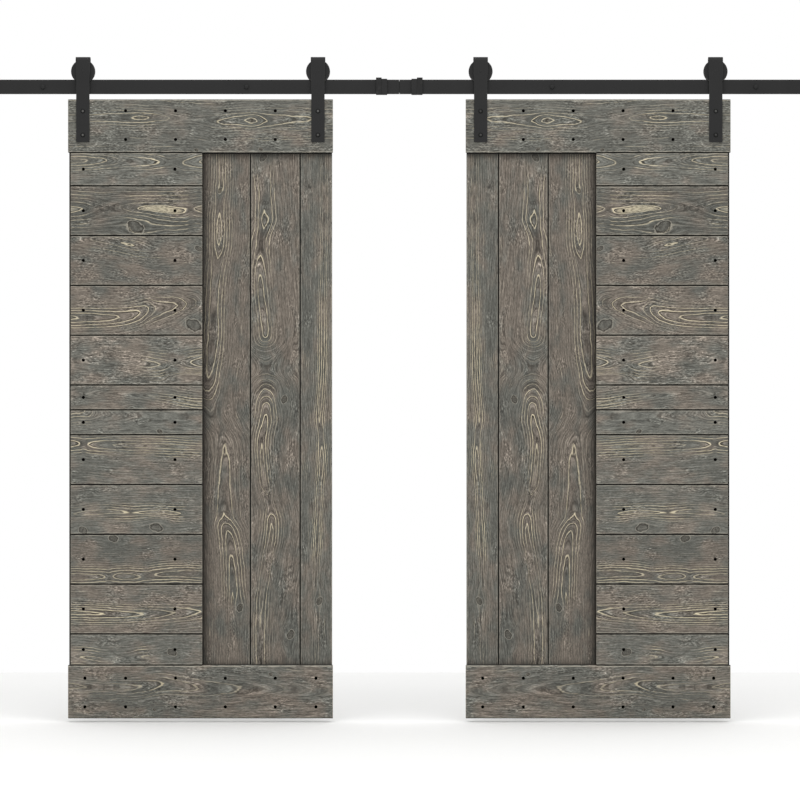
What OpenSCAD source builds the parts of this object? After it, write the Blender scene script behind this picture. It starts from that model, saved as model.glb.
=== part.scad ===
// Two plank barn doors that hang from one flat wall rail on bent-strap hangers.
// The wall plane is y = 0 and the room is towards -Y. x = 0 is the joint of the two rail
// pieces and z = 0 is the rail's centre line. The right door is drawn at its place, and the
// left door is its mirror image.

/* [Doors] */
// Width of one door
door_w = 915; // [890:1:950]
// Height of one door
door_h = 2139; // [2100:1:2180]
// Clear width between the two doors as they hang at rest
door_gap = 459; // [360:1:560]
// Thickness of every board, in the front layer and in the back layer
board_t = 17.5; // [16:0.5:19]
// Face width of one full board
board_w = 172; // [168:1:175]
// Height of the top and bottom rail boards
cross_h = 184; // [178:1:188]
// How far the back layer stands in from the edge of the rail boards
back_inset = 3; // [2:0.5:6]
// How far the slats stand in from the edge of the rail boards
slat_inset = 9.5; // [8:0.5:12]
// How far the slats run past the middle of the door
slat_past = 6; // [3:0.5:10]
// How far the middle of the slats lies below the middle of the door
slat_drop = 3.5; // [0:0.5:5]
// Open seam between two slats
slat_seam = 1; // [0.5:0.25:2]
// Leg of the V that the tongue-and-groove boards show at each seam
board_vee = 1.5; // [1:0.25:2]
// Radius of a wood screw's head
screw_head_r = 4.8; // [4:0.1:5]

/* [Rail] */
// Length of each of the two rail pieces
rail_len = 1829; // [1800:1:1900]
// Height of the flat rail bar
rail_h = 50; // [46:1:51]
// Thickness of the flat rail bar
rail_t = 6; // [5:0.5:6]
// Open seam between the two rail pieces
rail_seam = 1; // [0.5:0.25:2]
// Length of the spacers that hold the rail off the wall
spacer_len = 32; // [32:1:36]
// Distances of the lag bolts from the rail's joint
lag_x = [528, 1232, 1740];
// Length of a lag bolt inside the wall
lag_depth = 60; // [50:1:70]

/* [Hangers] */
// Width of the strap on the door
strap_w = 46; // [42:1:47]
// Width of the strap where it is bent over the wheel
strap_head_w = 50; // [45:1:52]
// Thickness of the strap
strap_t = 5; // [4:0.5:5]
// Gap between the strap's front and rear legs
strap_gap = 24; // [24:1:26]
// Length of the strap's front leg, from its top bend to its lower end
strap_h = 295; // [280:1:300]
// Length of the front leg that lies on the door
strap_on_door = 148.6; // [140:0.2:160]
// Distance of a strap's centre line from the door's edge
strap_edge = 51.5; // [45:0.5:60]
// Gap between the underside of the rail and the top of the door
door_drop = 18.5; // [17:0.5:22]
// Outer radius of the wheel's flanges
wheel_r = 41.5; // [40:0.5:42]
// Radius of the wheel's tread
tread_r = 27.75; // [27.75:0.25:28.5]
// Width of the wheel
wheel_w = 18; // [17:0.5:18]
// Gap between the tread and the top of the rail
tread_gap = 0.25; // [0.2:0.05:0.3]
// Depths of the two strap bolts below the top of the door
strap_bolt_depth = [41.5, 124];

/* [Stops] */
// Distance from the rail's joint to a centre stop
centre_stop_x = 42; // [40:1:60]
// Distance from the rail's end to an end stop
end_stop_in = 6; // [4:1:12]
// Length of a stop along the rail
stop_len = 19; // [16:1:22]
// Length of the rubber bumper along the rail
bumper_len = 19.5; // [16:0.5:22]
// Height of the bumper's top above the rail's centre line
bumper_top = 32; // [30:1:34]

/* [Hidden] */
LEFT = -1;
RIGHT = 1;
$fn = 64;
eps = 1;  // how far a cutting tool reaches past the face it cuts

steel_black = [0.21, 0.21, 0.21];
zinc_dark = [0.30, 0.30, 0.31];
bearing_steel = [0.62, 0.63, 0.65];
rubber_black = [0.12, 0.12, 0.12];
wood_front = [0.47, 0.45, 0.42];
wood_back = [0.43, 0.41, 0.38];

// planes of the layers, from the wall outwards
rail_back = -spacer_len;
rail_front = rail_back - rail_t;
rail_mid = rail_back - rail_t / 2;
strap_back = rail_mid - strap_gap / 2;
strap_front = strap_back - strap_t;
strap_rear = rail_mid + strap_gap / 2 + strap_t;
door_front = strap_back;
layer_plane = door_front + board_t;
door_back = layer_plane + board_t;

// heights
rail_top = rail_h / 2;
door_top = -rail_top - door_drop;
door_bottom = door_top - door_h;
slats_mid = door_top - door_h / 2 - slat_drop;
half_field = door_h / 2 - cross_h;
axle_z = rail_top + tread_gap + tread_r;
bend_r = 7;
strap_top = door_top - strap_on_door + strap_h;
strap_bottom = strap_top - strap_h;

// places across the wall, for the right door
door_mid = door_gap / 2 + door_w / 2;
strap_u = door_w / 2 - strap_edge;
INNER = door_mid - strap_u;
OUTER = door_mid + strap_u;

// fasteners and fits
fit = 0.05;
bolt_r = 4;
bolt_hole_r = 4.5;
lag_shank_r = 4.2;
lag_head_af = 13;
lag_head_t = 5.5;
washer_r = 8.5;
washer_t = 1.2;
spacer_r = 10;
dome_r = 8;
dome_t = 4.2;
nut_flange_t = 1.5;
nut_t = 7.5;
axle_r = 5;
axle_head_af = 16;
axle_head_t = 6.4;
screw_r = 2.1;
screw_len = 30;
screw_dome = 0.7;
set_screw_r = 3;
set_screw_z = -12;
joiner_len = 76;
joiner_h = 40;
joiner_screw_x = 22;
joiner_screw_z = 11;
joiner_thread = 4.5;

// bearing: 10 x 26 x 8
bearing_w = 8;
bearing_r = 12.98;
bearing_bore_r = 5.02;
ball_r = 2;
ball_pitch_r = 9;
race_r = ball_r + 0.1;
ball_count = 8;

// sleeve of the stops
sleeve_front = 7;
sleeve_back = 5;
sleeve_wall = 2.6;
sleeve_fit = 0.15;

// wood screws of one door: across from the door's middle, and up
cross_rows = [40, 139];
top_cols = [-258.5, -86, 86, 258.5];
bottom_cols = [-399, -258.5, -86, 86, 258.5, 399];
slat_cols = [88, 404.5];
// distances from the middle of the slats to a slat's far and near edges
function slat_far(i, up) = i == 0 ? half_field + up * slat_drop : (5.5 - i) * board_w;
function slat_near(i) = i < 5 ? (4.5 - i) * board_w : 0;
top_screws = [for (u = top_cols, r = cross_rows) [u, door_top - r]];
bottom_screws = [for (u = bottom_cols, r = cross_rows) [u, door_bottom + r]];
slat_screws = [for (u = slat_cols, i = [0:5], up = [1, -1])
    [u, slats_mid + up * (slat_far(i, up) + slat_near(i)) / 2]];
door_screws = concat(top_screws, bottom_screws, slat_screws);

// seams of the back layer, from the door's middle outwards
back_half = door_w / 2 - back_inset;
back_edges = [-back_half, -2 * board_w, -board_w, 0, board_w, 2 * board_w, back_half];

// children stand on the right, and on the left as a mirror image
module on_side(side) {
    if (side == RIGHT) children();
    else mirror([1, 0, 0]) children();
}

// a solid of revolution drawn in the (radius, height) plane, its height pointing at the room
module turned(x, y, z) {
    translate([x, y, z]) rotate([90, 0, 0]) rotate_extrude() children();
}

module rod(x, z, y_front, y_back, r) {
    translate([x, y_back, z]) rotate([90, 0, 0]) cylinder(h = y_back - y_front, r = r);
}

module hex_rod(x, z, y_front, y_back, across_flats) {
    translate([x, y_back, z]) rotate([90, 30, 0])
        cylinder(h = y_back - y_front, r = across_flats / sqrt(3), $fn = 6);
}

module slab(x0, x1, y0, y1, z0, z1) {
    translate([x0, y0, z0]) cube([x1 - x0, y1 - y0, z1 - z0]);
}

// ---- rail ----

module rail_piece(side) {
    color(steel_black) on_side(side) difference() {
        slab(rail_seam / 2, rail_len, rail_front, rail_back, -rail_top, rail_top);
        for (x = lag_x) rod(x, 0, rail_front - eps, rail_back + eps, bolt_hole_r);
        for (up = [-1, 1])
            rod(joiner_screw_x, up * joiner_screw_z, rail_back - joiner_thread, rail_back + eps,
                set_screw_r + fit);
    }
}

module rail_joiner() {
    color(steel_black) difference() {
        slab(-joiner_len / 2, joiner_len / 2, rail_back, rail_back + rail_t,
             -joiner_h / 2, joiner_h / 2);
        for (side = [-1, 1], up = [-1, 1])
            rod(side * joiner_screw_x, up * joiner_screw_z, rail_back - eps,
                rail_back + rail_t + eps, set_screw_r + 0.3);
    }
}

module joiner_screws() {
    plate_back = rail_back + rail_t;
    color(zinc_dark) for (side = [-1, 1], up = [-1, 1]) difference() {
        union() {
            rod(side * joiner_screw_x, up * joiner_screw_z, rail_back - joiner_thread + 0.5,
                plate_back + eps, set_screw_r);
            rod(side * joiner_screw_x, up * joiner_screw_z, plate_back, plate_back + 3.5, 5);
        }
        hex_rod(side * joiner_screw_x, up * joiner_screw_z, plate_back + 1.2,
                plate_back + 3.5 + eps, 4);
    }
}

module wall_spacers() {
    color(steel_black) for (side = [-1, 1], x = lag_x) difference() {
        rod(side * x, 0, rail_back, 0, spacer_r);
        rod(side * x, 0, rail_back - eps, eps, bolt_hole_r);
    }
}

module lag_washers() {
    color(steel_black) for (side = [-1, 1], x = lag_x) difference() {
        rod(side * x, 0, rail_front - washer_t, rail_front, washer_r);
        rod(side * x, 0, rail_front - washer_t - eps, rail_front + eps, bolt_hole_r);
    }
}

module lag_bolts() {
    head_back = rail_front - washer_t;
    tip = 8;
    shank = lag_depth - head_back;
    color(steel_black) for (side = [-1, 1], x = lag_x) union() {
        hex_rod(side * x, 0, head_back - lag_head_t, head_back, lag_head_af);
        turned(side * x, lag_depth, 0)
            polygon([
                [0, 0], [bolt_r, tip], [bolt_r, lag_depth], [lag_shank_r, lag_depth],
                [lag_shank_r, shank + eps], [0, shank + eps]
            ]);
    }
}

// ---- stops ----

// section of a sleeve around the rail, in (y, z)
module sleeve_section(front, back, bottom, top, corner_r) {
    difference() {
        union() {
            translate([front + corner_r, bottom])
                square([back - front - 2 * corner_r, top - bottom]);
            translate([front, bottom + corner_r])
                square([back - front, top - bottom - 2 * corner_r]);
            for (y = [front + corner_r, back - corner_r], z = [bottom + corner_r, top - corner_r])
                translate([y, z]) circle(r = corner_r);
        }
        translate([rail_front - sleeve_fit, -rail_top - sleeve_fit])
            square([rail_t + 2 * sleeve_fit, rail_h + 2 * sleeve_fit]);
    }
}

module along_rail(x0, x1) {
    translate([x0, 0, 0]) rotate([90, 0, 90]) linear_extrude(height = x1 - x0) children();
}

// x0 is the end of the stop nearer the rail's joint
module stop_sleeve(side, x0) {
    color(steel_black) on_side(side) difference() {
        along_rail(x0, x0 + stop_len)
            sleeve_section(rail_front - sleeve_front, rail_back + sleeve_back,
                           -rail_top - sleeve_wall, rail_top + sleeve_wall, 1);
        rod(x0 + stop_len / 2, set_screw_z, rail_front - sleeve_front - eps, rail_front,
            set_screw_r + fit);
    }
}

module stop_bumper(side, x0) {
    color(rubber_black) on_side(side)
        along_rail(x0, x0 + bumper_len)
            sleeve_section(rail_front - sleeve_front - 0.5, rail_back + sleeve_back,
                           -rail_top - sleeve_wall, bumper_top, 2.5);
}

end_stop_x = rail_len - end_stop_in - stop_len;

module stop_set_screws() {
    color(zinc_dark) for (side = [-1, 1], x0 = [centre_stop_x, end_stop_x]) difference() {
        rod(side * (x0 + stop_len / 2), set_screw_z, rail_front - sleeve_front + 0.4,
            rail_front, set_screw_r);
        hex_rod(side * (x0 + stop_len / 2), set_screw_z, rail_front - sleeve_front - eps,
                rail_front - 3, 3);
    }
}

// ---- boards ----

// profile of a wood screw below and above the board's face, made larger by grow for its hole
module screw_section(grow) {
    head_t = screw_head_r - screw_r;
    polygon([
        [0, -screw_len - grow], [screw_r + grow, -screw_len + 4], [screw_r + grow, -head_t],
        [screw_head_r + grow, 0], [screw_head_r + grow, grow * 40],
        [screw_head_r * 0.6, screw_dome + grow * 40], [0, screw_dome + grow * 40]
    ]);
}

module screw_holes(places) {
    for (p = places) turned(door_mid + p[0], door_front, p[1]) screw_section(fit);
}

module strap_bolt_holes() {
    for (x = [INNER, OUTER], depth = strap_bolt_depth)
        rod(x, door_top - depth, door_front - eps, door_back + eps, bolt_hole_r);
}

module top_board(side) {
    color(wood_front) on_side(side) difference() {
        slab(door_mid - door_w / 2, door_mid + door_w / 2, door_front, layer_plane,
             door_top - cross_h, door_top);
        screw_holes(top_screws);
        strap_bolt_holes();
    }
}

module bottom_board(side) {
    color(wood_front) on_side(side) difference() {
        slab(door_mid - door_w / 2, door_mid + door_w / 2, door_front, layer_plane,
             door_bottom, door_bottom + cross_h);
        screw_holes(bottom_screws);
    }
}

// six slats of one half of the field; up is 1 for the upper half and -1 for the lower half
module half_slats(side, up) {
    color(wood_front) on_side(side) for (i = [0:5]) difference() {
        edge_a = slats_mid + up * (slat_far(i, up) - slat_seam / 2);
        edge_b = slats_mid + up * (slat_near(i) + slat_seam / 2);
        slab(door_mid - slat_past, door_mid + door_w / 2 - slat_inset, door_front, layer_plane,
             min(edge_a, edge_b), max(edge_a, edge_b));
        screw_holes([for (u = slat_cols) [u, (edge_a + edge_b) / 2]]);
    }
}

// plan of a tongue-and-groove board from a to b, its face at y = 0; a cut edge is plain
module board_plan(a, b, groove, tongue) {
    lip = board_t / 2 - 3;
    reach = 6;
    left = groove ? [
        [a, board_t], [a, lip + 6], [a + reach, lip + 6], [a + reach, lip], [a, lip],
        [a, board_vee], [a + board_vee, 0]
    ] : [[a, board_t], [a, 0]];
    c = b - 0.3;
    right = tongue ? [
        [c - board_vee, 0], [c, board_vee], [c, lip + 0.2], [c + reach - 0.3, lip + 0.2],
        [c + reach - 0.3, lip + 5.8], [c, lip + 5.8], [c, board_t]
    ] : [[b, 0], [b, board_t]];
    polygon(concat(left, right));
}

// board 1 is at the edge nearer the other door
module back_board(side, number) {
    a = back_edges[number - 1];
    b = back_edges[number];
    near = [for (p = door_screws) if (p[0] > a && p[0] < b) p];
    color(wood_back) on_side(side) difference() {
        translate([door_mid, layer_plane, door_bottom]) linear_extrude(height = door_h)
            board_plan(a, b, number > 1, number < 6);
        screw_holes(near);
        if (number == 1 || number == 6) strap_bolt_holes();
    }
}

module wood_screws(side) {
    color(steel_black) on_side(side)
        for (p = door_screws) turned(door_mid + p[0], door_front, p[1]) screw_section(0);
}

// ---- hangers ----

// side view of the strap in (y, z): a front leg, a bent top and a short rear leg
module strap_bend(grow) {
    corner = bend_r + grow;
    half = strap_gap / 2 + grow;
    crown = strap_top - strap_t + grow;
    translate([-half, strap_bottom - eps])
        square([2 * half, crown - corner - strap_bottom + eps]);
    translate([corner - half, crown - corner - eps])
        square([2 * (half - corner), corner + eps]);
    for (y = [corner - half, half - corner]) translate([y, crown - corner]) circle(r = corner);
}

// front view of the strap in (x, z), wider at its head
module strap_front_view() {
    corner = 3;
    translate([corner - strap_w / 2, strap_bottom]) square([strap_w - 2 * corner, 2 * corner]);
    for (x = [corner - strap_w / 2, strap_w / 2 - corner])
        translate([x, strap_bottom + corner]) circle(r = corner);
    polygon([
        [-strap_w / 2, strap_bottom + corner], [strap_w / 2, strap_bottom + corner],
        [strap_w / 2, axle_z - 24], [strap_head_w / 2, axle_z - 8],
        [strap_head_w / 2, strap_top + eps], [-strap_head_w / 2, strap_top + eps],
        [-strap_head_w / 2, axle_z - 8], [-strap_w / 2, axle_z - 24]
    ]);
}

// rear leg in (x, z), rounded about the axle
module strap_rear_view() {
    translate([0, axle_z]) circle(r = strap_head_w / 2);
    translate([-strap_head_w / 2, axle_z]) square([strap_head_w, strap_top - axle_z + eps]);
}

module strap(side, x) {
    color(steel_black) on_side(side) difference() {
        intersection() {
            translate([x - strap_head_w / 2, rail_mid, 0]) rotate([90, 0, 90])
                linear_extrude(height = strap_head_w) difference() {
                    strap_bend(strap_t);
                    strap_bend(0);
                }
            union() {
                translate([x, rail_mid, 0]) rotate([90, 0, 0])
                    linear_extrude(height = strap_gap) strap_front_view();
                translate([x, rail_mid + strap_gap, 0]) rotate([90, 0, 0])
                    linear_extrude(height = strap_gap) strap_rear_view();
            }
        }
        rod(x, axle_z, strap_front - eps, strap_rear + eps, axle_r + fit);
        for (depth = strap_bolt_depth)
            rod(x, door_top - depth, strap_front - eps, strap_back + eps, bolt_hole_r);
    }
}

module strap_bolts(side) {
    ball_radius = (dome_r * dome_r + dome_t * dome_t) / (2 * dome_t);
    shank_end = door_back + nut_t + 0.3;
    color(steel_black) on_side(side)
        for (x = [INNER, OUTER], depth = strap_bolt_depth) {
            rod(x, door_top - depth, strap_front - eps, shank_end, bolt_r);
            turned(x, strap_front, door_top - depth) intersection() {
                translate([0, dome_t - ball_radius]) circle(r = ball_radius);
                square([dome_r, dome_t]);
            }
        }
}

module strap_nuts(side) {
    color(zinc_dark) on_side(side)
        for (x = [INNER, OUTER], depth = strap_bolt_depth) difference() {
            union() {
                rod(x, door_top - depth, door_back, door_back + nut_flange_t, washer_r);
                hex_rod(x, door_top - depth, door_back, door_back + nut_t, lag_head_af);
            }
            rod(x, door_top - depth, door_back - eps, door_back + nut_t + eps, bolt_r + fit);
        }
}

// the axle bolt goes in from behind and its thread ends flush in the front leg
module axle_bolts(side) {
    color(zinc_dark) on_side(side) for (x = [INNER, OUTER]) union() {
        rod(x, axle_z, strap_front + 0.2, strap_rear + eps, axle_r);
        hex_rod(x, axle_z, strap_rear, strap_rear + axle_head_t, axle_head_af);
    }
}

module axle_bushes(side) {
    color(zinc_dark) on_side(side)
        for (x = [INNER, OUTER], way = [-1, 1]) {
            near = bearing_w / 2;
            far = strap_gap / 2;
            y0 = rail_mid + min(way * near, way * far);
            difference() {
                rod(x, axle_z, y0, y0 + far - near, 7.4);
                rod(x, axle_z, y0 - eps, y0 + far - near + eps, axle_r + fit);
            }
        }
}

// inner rings of the bearings, clamped between the bushes
module bearing_cones(side) {
    color(bearing_steel) on_side(side) for (x = [INNER, OUTER])
        turned(x, rail_mid, axle_z) difference() {
            translate([bearing_bore_r, -bearing_w / 2]) square([7.4 - bearing_bore_r, bearing_w]);
            translate([ball_pitch_r, 0]) circle(r = race_r);
        }
}

// outer ring with its two shields, and the balls
module bearing(side, x) {
    shield_t = 0.6;
    color(bearing_steel) on_side(side) {
        turned(x, rail_mid, axle_z) {
            difference() {
                translate([10.6, -bearing_w / 2]) square([bearing_r - 10.6, bearing_w]);
                translate([ball_pitch_r, 0]) circle(r = race_r);
            }
            for (y = [-bearing_w / 2 + 0.2, bearing_w / 2 - 0.2 - shield_t])
                translate([7.7, y]) square([2.9, shield_t]);
        }
        for (i = [0:ball_count - 1])
            translate([x, rail_mid, axle_z]) rotate([0, i * 360 / ball_count, 0])
                translate([ball_pitch_r, 0, 0]) sphere(r = ball_r);
    }
}

module wheel(side, x) {
    half = wheel_w / 2;
    lip = 3;
    groove = rail_t / 2 + 0.75;
    shoulder = bearing_w / 2;
    color(steel_black) on_side(side) turned(x, rail_mid, axle_z)
        polygon([
            [11, -half], [wheel_r - lip, -half], [wheel_r, -half + lip / 2],
            [wheel_r, -groove - 1], [wheel_r - 1, -groove - 0.5], [tread_r, -groove],
            [tread_r, groove], [wheel_r - 1, groove + 0.5], [wheel_r, groove + 1],
            [wheel_r, half - lip / 2], [wheel_r - lip, half], [13, half],
            [13, -shoulder], [11, -shoulder]
        ]);
}

rail_piece(LEFT);  // rail_left
rail_piece(RIGHT);  // rail_right
rail_joiner();
joiner_screws();
wall_spacers();
lag_bolts();
lag_washers();
stop_set_screws();
stop_sleeve(LEFT, centre_stop_x);  // centre_stop_left
stop_sleeve(RIGHT, centre_stop_x);  // centre_stop_right
stop_sleeve(LEFT, end_stop_x);  // end_stop_left
stop_sleeve(RIGHT, end_stop_x);  // end_stop_right
stop_bumper(LEFT, centre_stop_x + stop_len);  // centre_bumper_left
stop_bumper(RIGHT, centre_stop_x + stop_len);  // centre_bumper_right
stop_bumper(LEFT, end_stop_x - bumper_len);  // end_bumper_left
stop_bumper(RIGHT, end_stop_x - bumper_len);  // end_bumper_right

top_board(LEFT);  // left_top_board
bottom_board(LEFT);  // left_bottom_board
half_slats(LEFT, 1);  // left_upper_slats
half_slats(LEFT, -1);  // left_lower_slats
back_board(LEFT, 1);  // left_back_board_1
back_board(LEFT, 2);  // left_back_board_2
back_board(LEFT, 3);  // left_back_board_3
back_board(LEFT, 4);  // left_back_board_4
back_board(LEFT, 5);  // left_back_board_5
back_board(LEFT, 6);  // left_back_board_6
wood_screws(LEFT);  // left_wood_screws
strap(LEFT, OUTER);  // left_outer_strap
strap(LEFT, INNER);  // left_inner_strap
strap_bolts(LEFT);  // left_strap_bolts
strap_nuts(LEFT);  // left_strap_nuts
axle_bolts(LEFT);  // left_axle_bolts
axle_bushes(LEFT);  // left_axle_bushes
bearing_cones(LEFT);  // left_bearing_cones
bearing(LEFT, OUTER);  // left_outer_bearing
bearing(LEFT, INNER);  // left_inner_bearing
wheel(LEFT, OUTER);  // left_outer_wheel
wheel(LEFT, INNER);  // left_inner_wheel

top_board(RIGHT);  // right_top_board
bottom_board(RIGHT);  // right_bottom_board
half_slats(RIGHT, 1);  // right_upper_slats
half_slats(RIGHT, -1);  // right_lower_slats
back_board(RIGHT, 1);  // right_back_board_1
back_board(RIGHT, 2);  // right_back_board_2
back_board(RIGHT, 3);  // right_back_board_3
back_board(RIGHT, 4);  // right_back_board_4
back_board(RIGHT, 5);  // right_back_board_5
back_board(RIGHT, 6);  // right_back_board_6
wood_screws(RIGHT);  // right_wood_screws
strap(RIGHT, OUTER);  // right_outer_strap
strap(RIGHT, INNER);  // right_inner_strap
strap_bolts(RIGHT);  // right_strap_bolts
strap_nuts(RIGHT);  // right_strap_nuts
axle_bolts(RIGHT);  // right_axle_bolts
axle_bushes(RIGHT);  // right_axle_bushes
bearing_cones(RIGHT);  // right_bearing_cones
bearing(RIGHT, OUTER);  // right_outer_bearing
bearing(RIGHT, INNER);  // right_inner_bearing
wheel(RIGHT, OUTER);  // right_outer_wheel
wheel(RIGHT, INNER);  // right_inner_wheel
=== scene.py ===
# %% [markdown]
# # A pair of sliding barn doors
# This notebook dresses a finished CAD model of two plank doors on a flat wall rail. The model
# already holds every size, so the first cell only loads it and keeps its outer box. Each later
# cell takes one piece or one finish of the real doors, says how it could be made, and makes it.

# %% Load the frame
import math

import bpy
import numpy as np
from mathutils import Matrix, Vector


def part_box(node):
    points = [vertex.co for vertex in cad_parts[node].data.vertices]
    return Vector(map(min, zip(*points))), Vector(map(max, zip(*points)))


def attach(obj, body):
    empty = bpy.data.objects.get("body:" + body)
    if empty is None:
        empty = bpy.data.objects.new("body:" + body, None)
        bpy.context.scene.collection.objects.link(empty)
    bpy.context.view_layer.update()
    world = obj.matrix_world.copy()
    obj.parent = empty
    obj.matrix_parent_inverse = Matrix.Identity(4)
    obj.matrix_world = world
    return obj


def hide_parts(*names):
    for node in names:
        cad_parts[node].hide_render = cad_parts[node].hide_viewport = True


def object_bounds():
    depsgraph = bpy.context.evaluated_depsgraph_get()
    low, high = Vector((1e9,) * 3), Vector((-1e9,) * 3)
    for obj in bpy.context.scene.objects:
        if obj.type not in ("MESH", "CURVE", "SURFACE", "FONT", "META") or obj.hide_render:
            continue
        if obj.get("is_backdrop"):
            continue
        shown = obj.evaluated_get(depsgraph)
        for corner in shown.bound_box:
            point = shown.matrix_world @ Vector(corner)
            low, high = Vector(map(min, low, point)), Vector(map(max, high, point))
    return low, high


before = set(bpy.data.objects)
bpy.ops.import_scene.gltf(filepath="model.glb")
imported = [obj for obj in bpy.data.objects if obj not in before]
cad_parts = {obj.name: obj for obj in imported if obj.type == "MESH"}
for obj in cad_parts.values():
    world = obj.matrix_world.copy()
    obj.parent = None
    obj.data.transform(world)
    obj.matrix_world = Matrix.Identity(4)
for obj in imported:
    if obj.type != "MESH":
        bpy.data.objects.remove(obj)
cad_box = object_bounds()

size = np.array(cad_box[1]) - np.array(cad_box[0])
print("CAD box, metres:", np.round(size, 4), "nodes:", len(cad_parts))

# %% [markdown]
# ## Measures
# The places of boards, straps and wheels are read from the boxes of the CAD nodes, so nothing
# has to be typed twice. Everything is worked out on the left door, because the right door is
# its mirror image about the plane x = 0.

# %% Measures
MM = 0.001
BOX = {name: np.array([list(corner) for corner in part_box(name)]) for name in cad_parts}
X, Y, Z = 0, 1, 2
LOW, HIGH = 0, 1
front_y = BOX["left_top_board"][LOW, Y]
layer_y = BOX["left_top_board"][HIGH, Y]
back_y = BOX["left_back_board_3"][HIGH, Y]
board_t = layer_y - front_y
board_w = BOX["left_back_board_2"][HIGH, X] - BOX["left_back_board_3"][HIGH, X]
door_x = BOX["left_top_board"][:, X]
door_z = np.array([BOX["left_bottom_board"][LOW, Z], BOX["left_top_board"][HIGH, Z]])
field_z = np.array([BOX["left_bottom_board"][HIGH, Z], BOX["left_top_board"][LOW, Z]])
mid_x = door_x.mean()
mid_z = (BOX["left_upper_slats"][LOW, Z] + BOX["left_lower_slats"][HIGH, Z]) / 2
print("board", round(board_w / MM, 1), "x", round(board_t / MM, 1), "mm, door", np.round(door_x, 4))

# %% [markdown]
# ## Surfaces carried along a path
# Nearly everything here is an outline carried along a line: a board, a bent strap, a turned
# wheel. One function joins a stack of outlines into a closed shell, and also records where
# each face corner lies along and across the piece, which is the map that the wood grain uses.
# A shell whose faces point inwards has a negative volume, so its faces are turned round.


# %% Closed shells from outlines
def arc_lengths(points):
    """Running length along each line of points: the sum of the distances between neighbours."""
    steps = np.linalg.norm(np.diff(points, axis=0), axis=-1)
    return np.concatenate([[0], np.cumsum(steps)])


def volume_of(points, faces):
    """Signed volume of flat faces: a sixth of the sum of p0 . (p1 x p2) over their triangles."""
    fan = np.concatenate([faces[:, [0, k, k + 1]] for k in range(1, faces.shape[1] - 1)])
    a, b, c = points[fan[:, 0]], points[fan[:, 1]], points[fan[:, 2]]
    return (a * np.cross(b, c)).sum() / 6


def carried(rings, along=None, across=None, loop=False, worn=0.0, soiled=0.0):
    """A closed shell through M outlines of N points each, given as an (M, N, 3) array.
    Face (i, j) joins points j and j + 1 of outlines i and i + 1. Both counts wrap round on a
    loop, and an open stack gets a flat face on its first and last outline."""
    m, n = rings.shape[:2]
    closed = np.concatenate([rings, rings[:, :1]], 1)
    if across is None:
        across = arc_lengths(closed.mean(0))
        across = across - across[-1] / 2
    if along is None:
        path = rings.mean(1)
        along = arc_lengths(np.concatenate([path, path[:1]]))
    i = np.arange(m if loop else m - 1)[:, None]
    j = np.arange(n)[None, :]
    i1, j1 = (i + 1) % m, (j + 1) % n
    corners = np.broadcast_arrays(i * n + j, i * n + j1, i1 * n + j1, i1 * n + j)
    quads = np.stack(corners, -1).reshape(-1, 4)
    u0, u1, v0, v1 = np.broadcast_arrays(along[i], along[i + 1], across[j], across[j + 1])
    grain = np.stack([np.stack([u0, u0, u1, u1], -1), np.stack([v0, v1, v1, v0], -1)], -1)
    grain = grain.reshape(-1, 4, 2)
    caps = [] if loop else [np.arange(n)[::-1], (m - 1) * n + np.arange(n)]
    points = rings.reshape(-1, 3)
    turn = volume_of(points, quads) + sum(volume_of(points, cap[None]) for cap in caps)
    if turn < 0:
        quads, grain = quads[:, ::-1], grain[:, ::-1]
        caps = [cap[::-1] for cap in caps]
    grain_at = np.stack(np.broadcast_arrays(along[:m, None], across[None, :n]), -1).reshape(-1, 2)
    return {"points": points, "quads": quads, "grain": grain, "caps": caps, "grain_at": grain_at,
            "worn": np.broadcast_to(worn, (m, n)).ravel(),
            "soiled": np.broadcast_to(soiled, (m, n)).ravel()}


def mirrored(shell):
    """The same shell on the other side of x = 0: x changes sign and each face runs backwards."""
    return {**shell, "points": shell["points"] * [-1, 1, 1], "quads": shell["quads"][:, ::-1],
            "grain": shell["grain"][:, ::-1], "caps": [cap[::-1] for cap in shell["caps"]]}


def joined(shells):
    """Several shells as one, with each one's point numbers moved past those before it."""
    starts = np.cumsum([0] + [len(shell["points"]) for shell in shells])
    whole = {part: np.concatenate([shell[part] for shell in shells])
             for part in ("points", "grain", "grain_at", "worn", "soiled")}
    quads = np.concatenate([shell["quads"] + at for shell, at in zip(shells, starts)])
    caps = [cap + at for shell, at in zip(shells, starts) for cap in shell["caps"]]
    return {**whole, "quads": quads, "caps": caps}


def moved(shell, place):
    """The shell shifted by a vector."""
    return {**shell, "points": shell["points"] + np.asarray(place)}


ends = np.array([[[0, 0, k], [1, 0, k], [1, 1, k], [0, 1, k]] for k in (0.0, 1.0)])
cube = carried(ends)
print("a cube as a shell has", len(cube["quads"]), "sides and", len(cube["caps"]), "caps")
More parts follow.
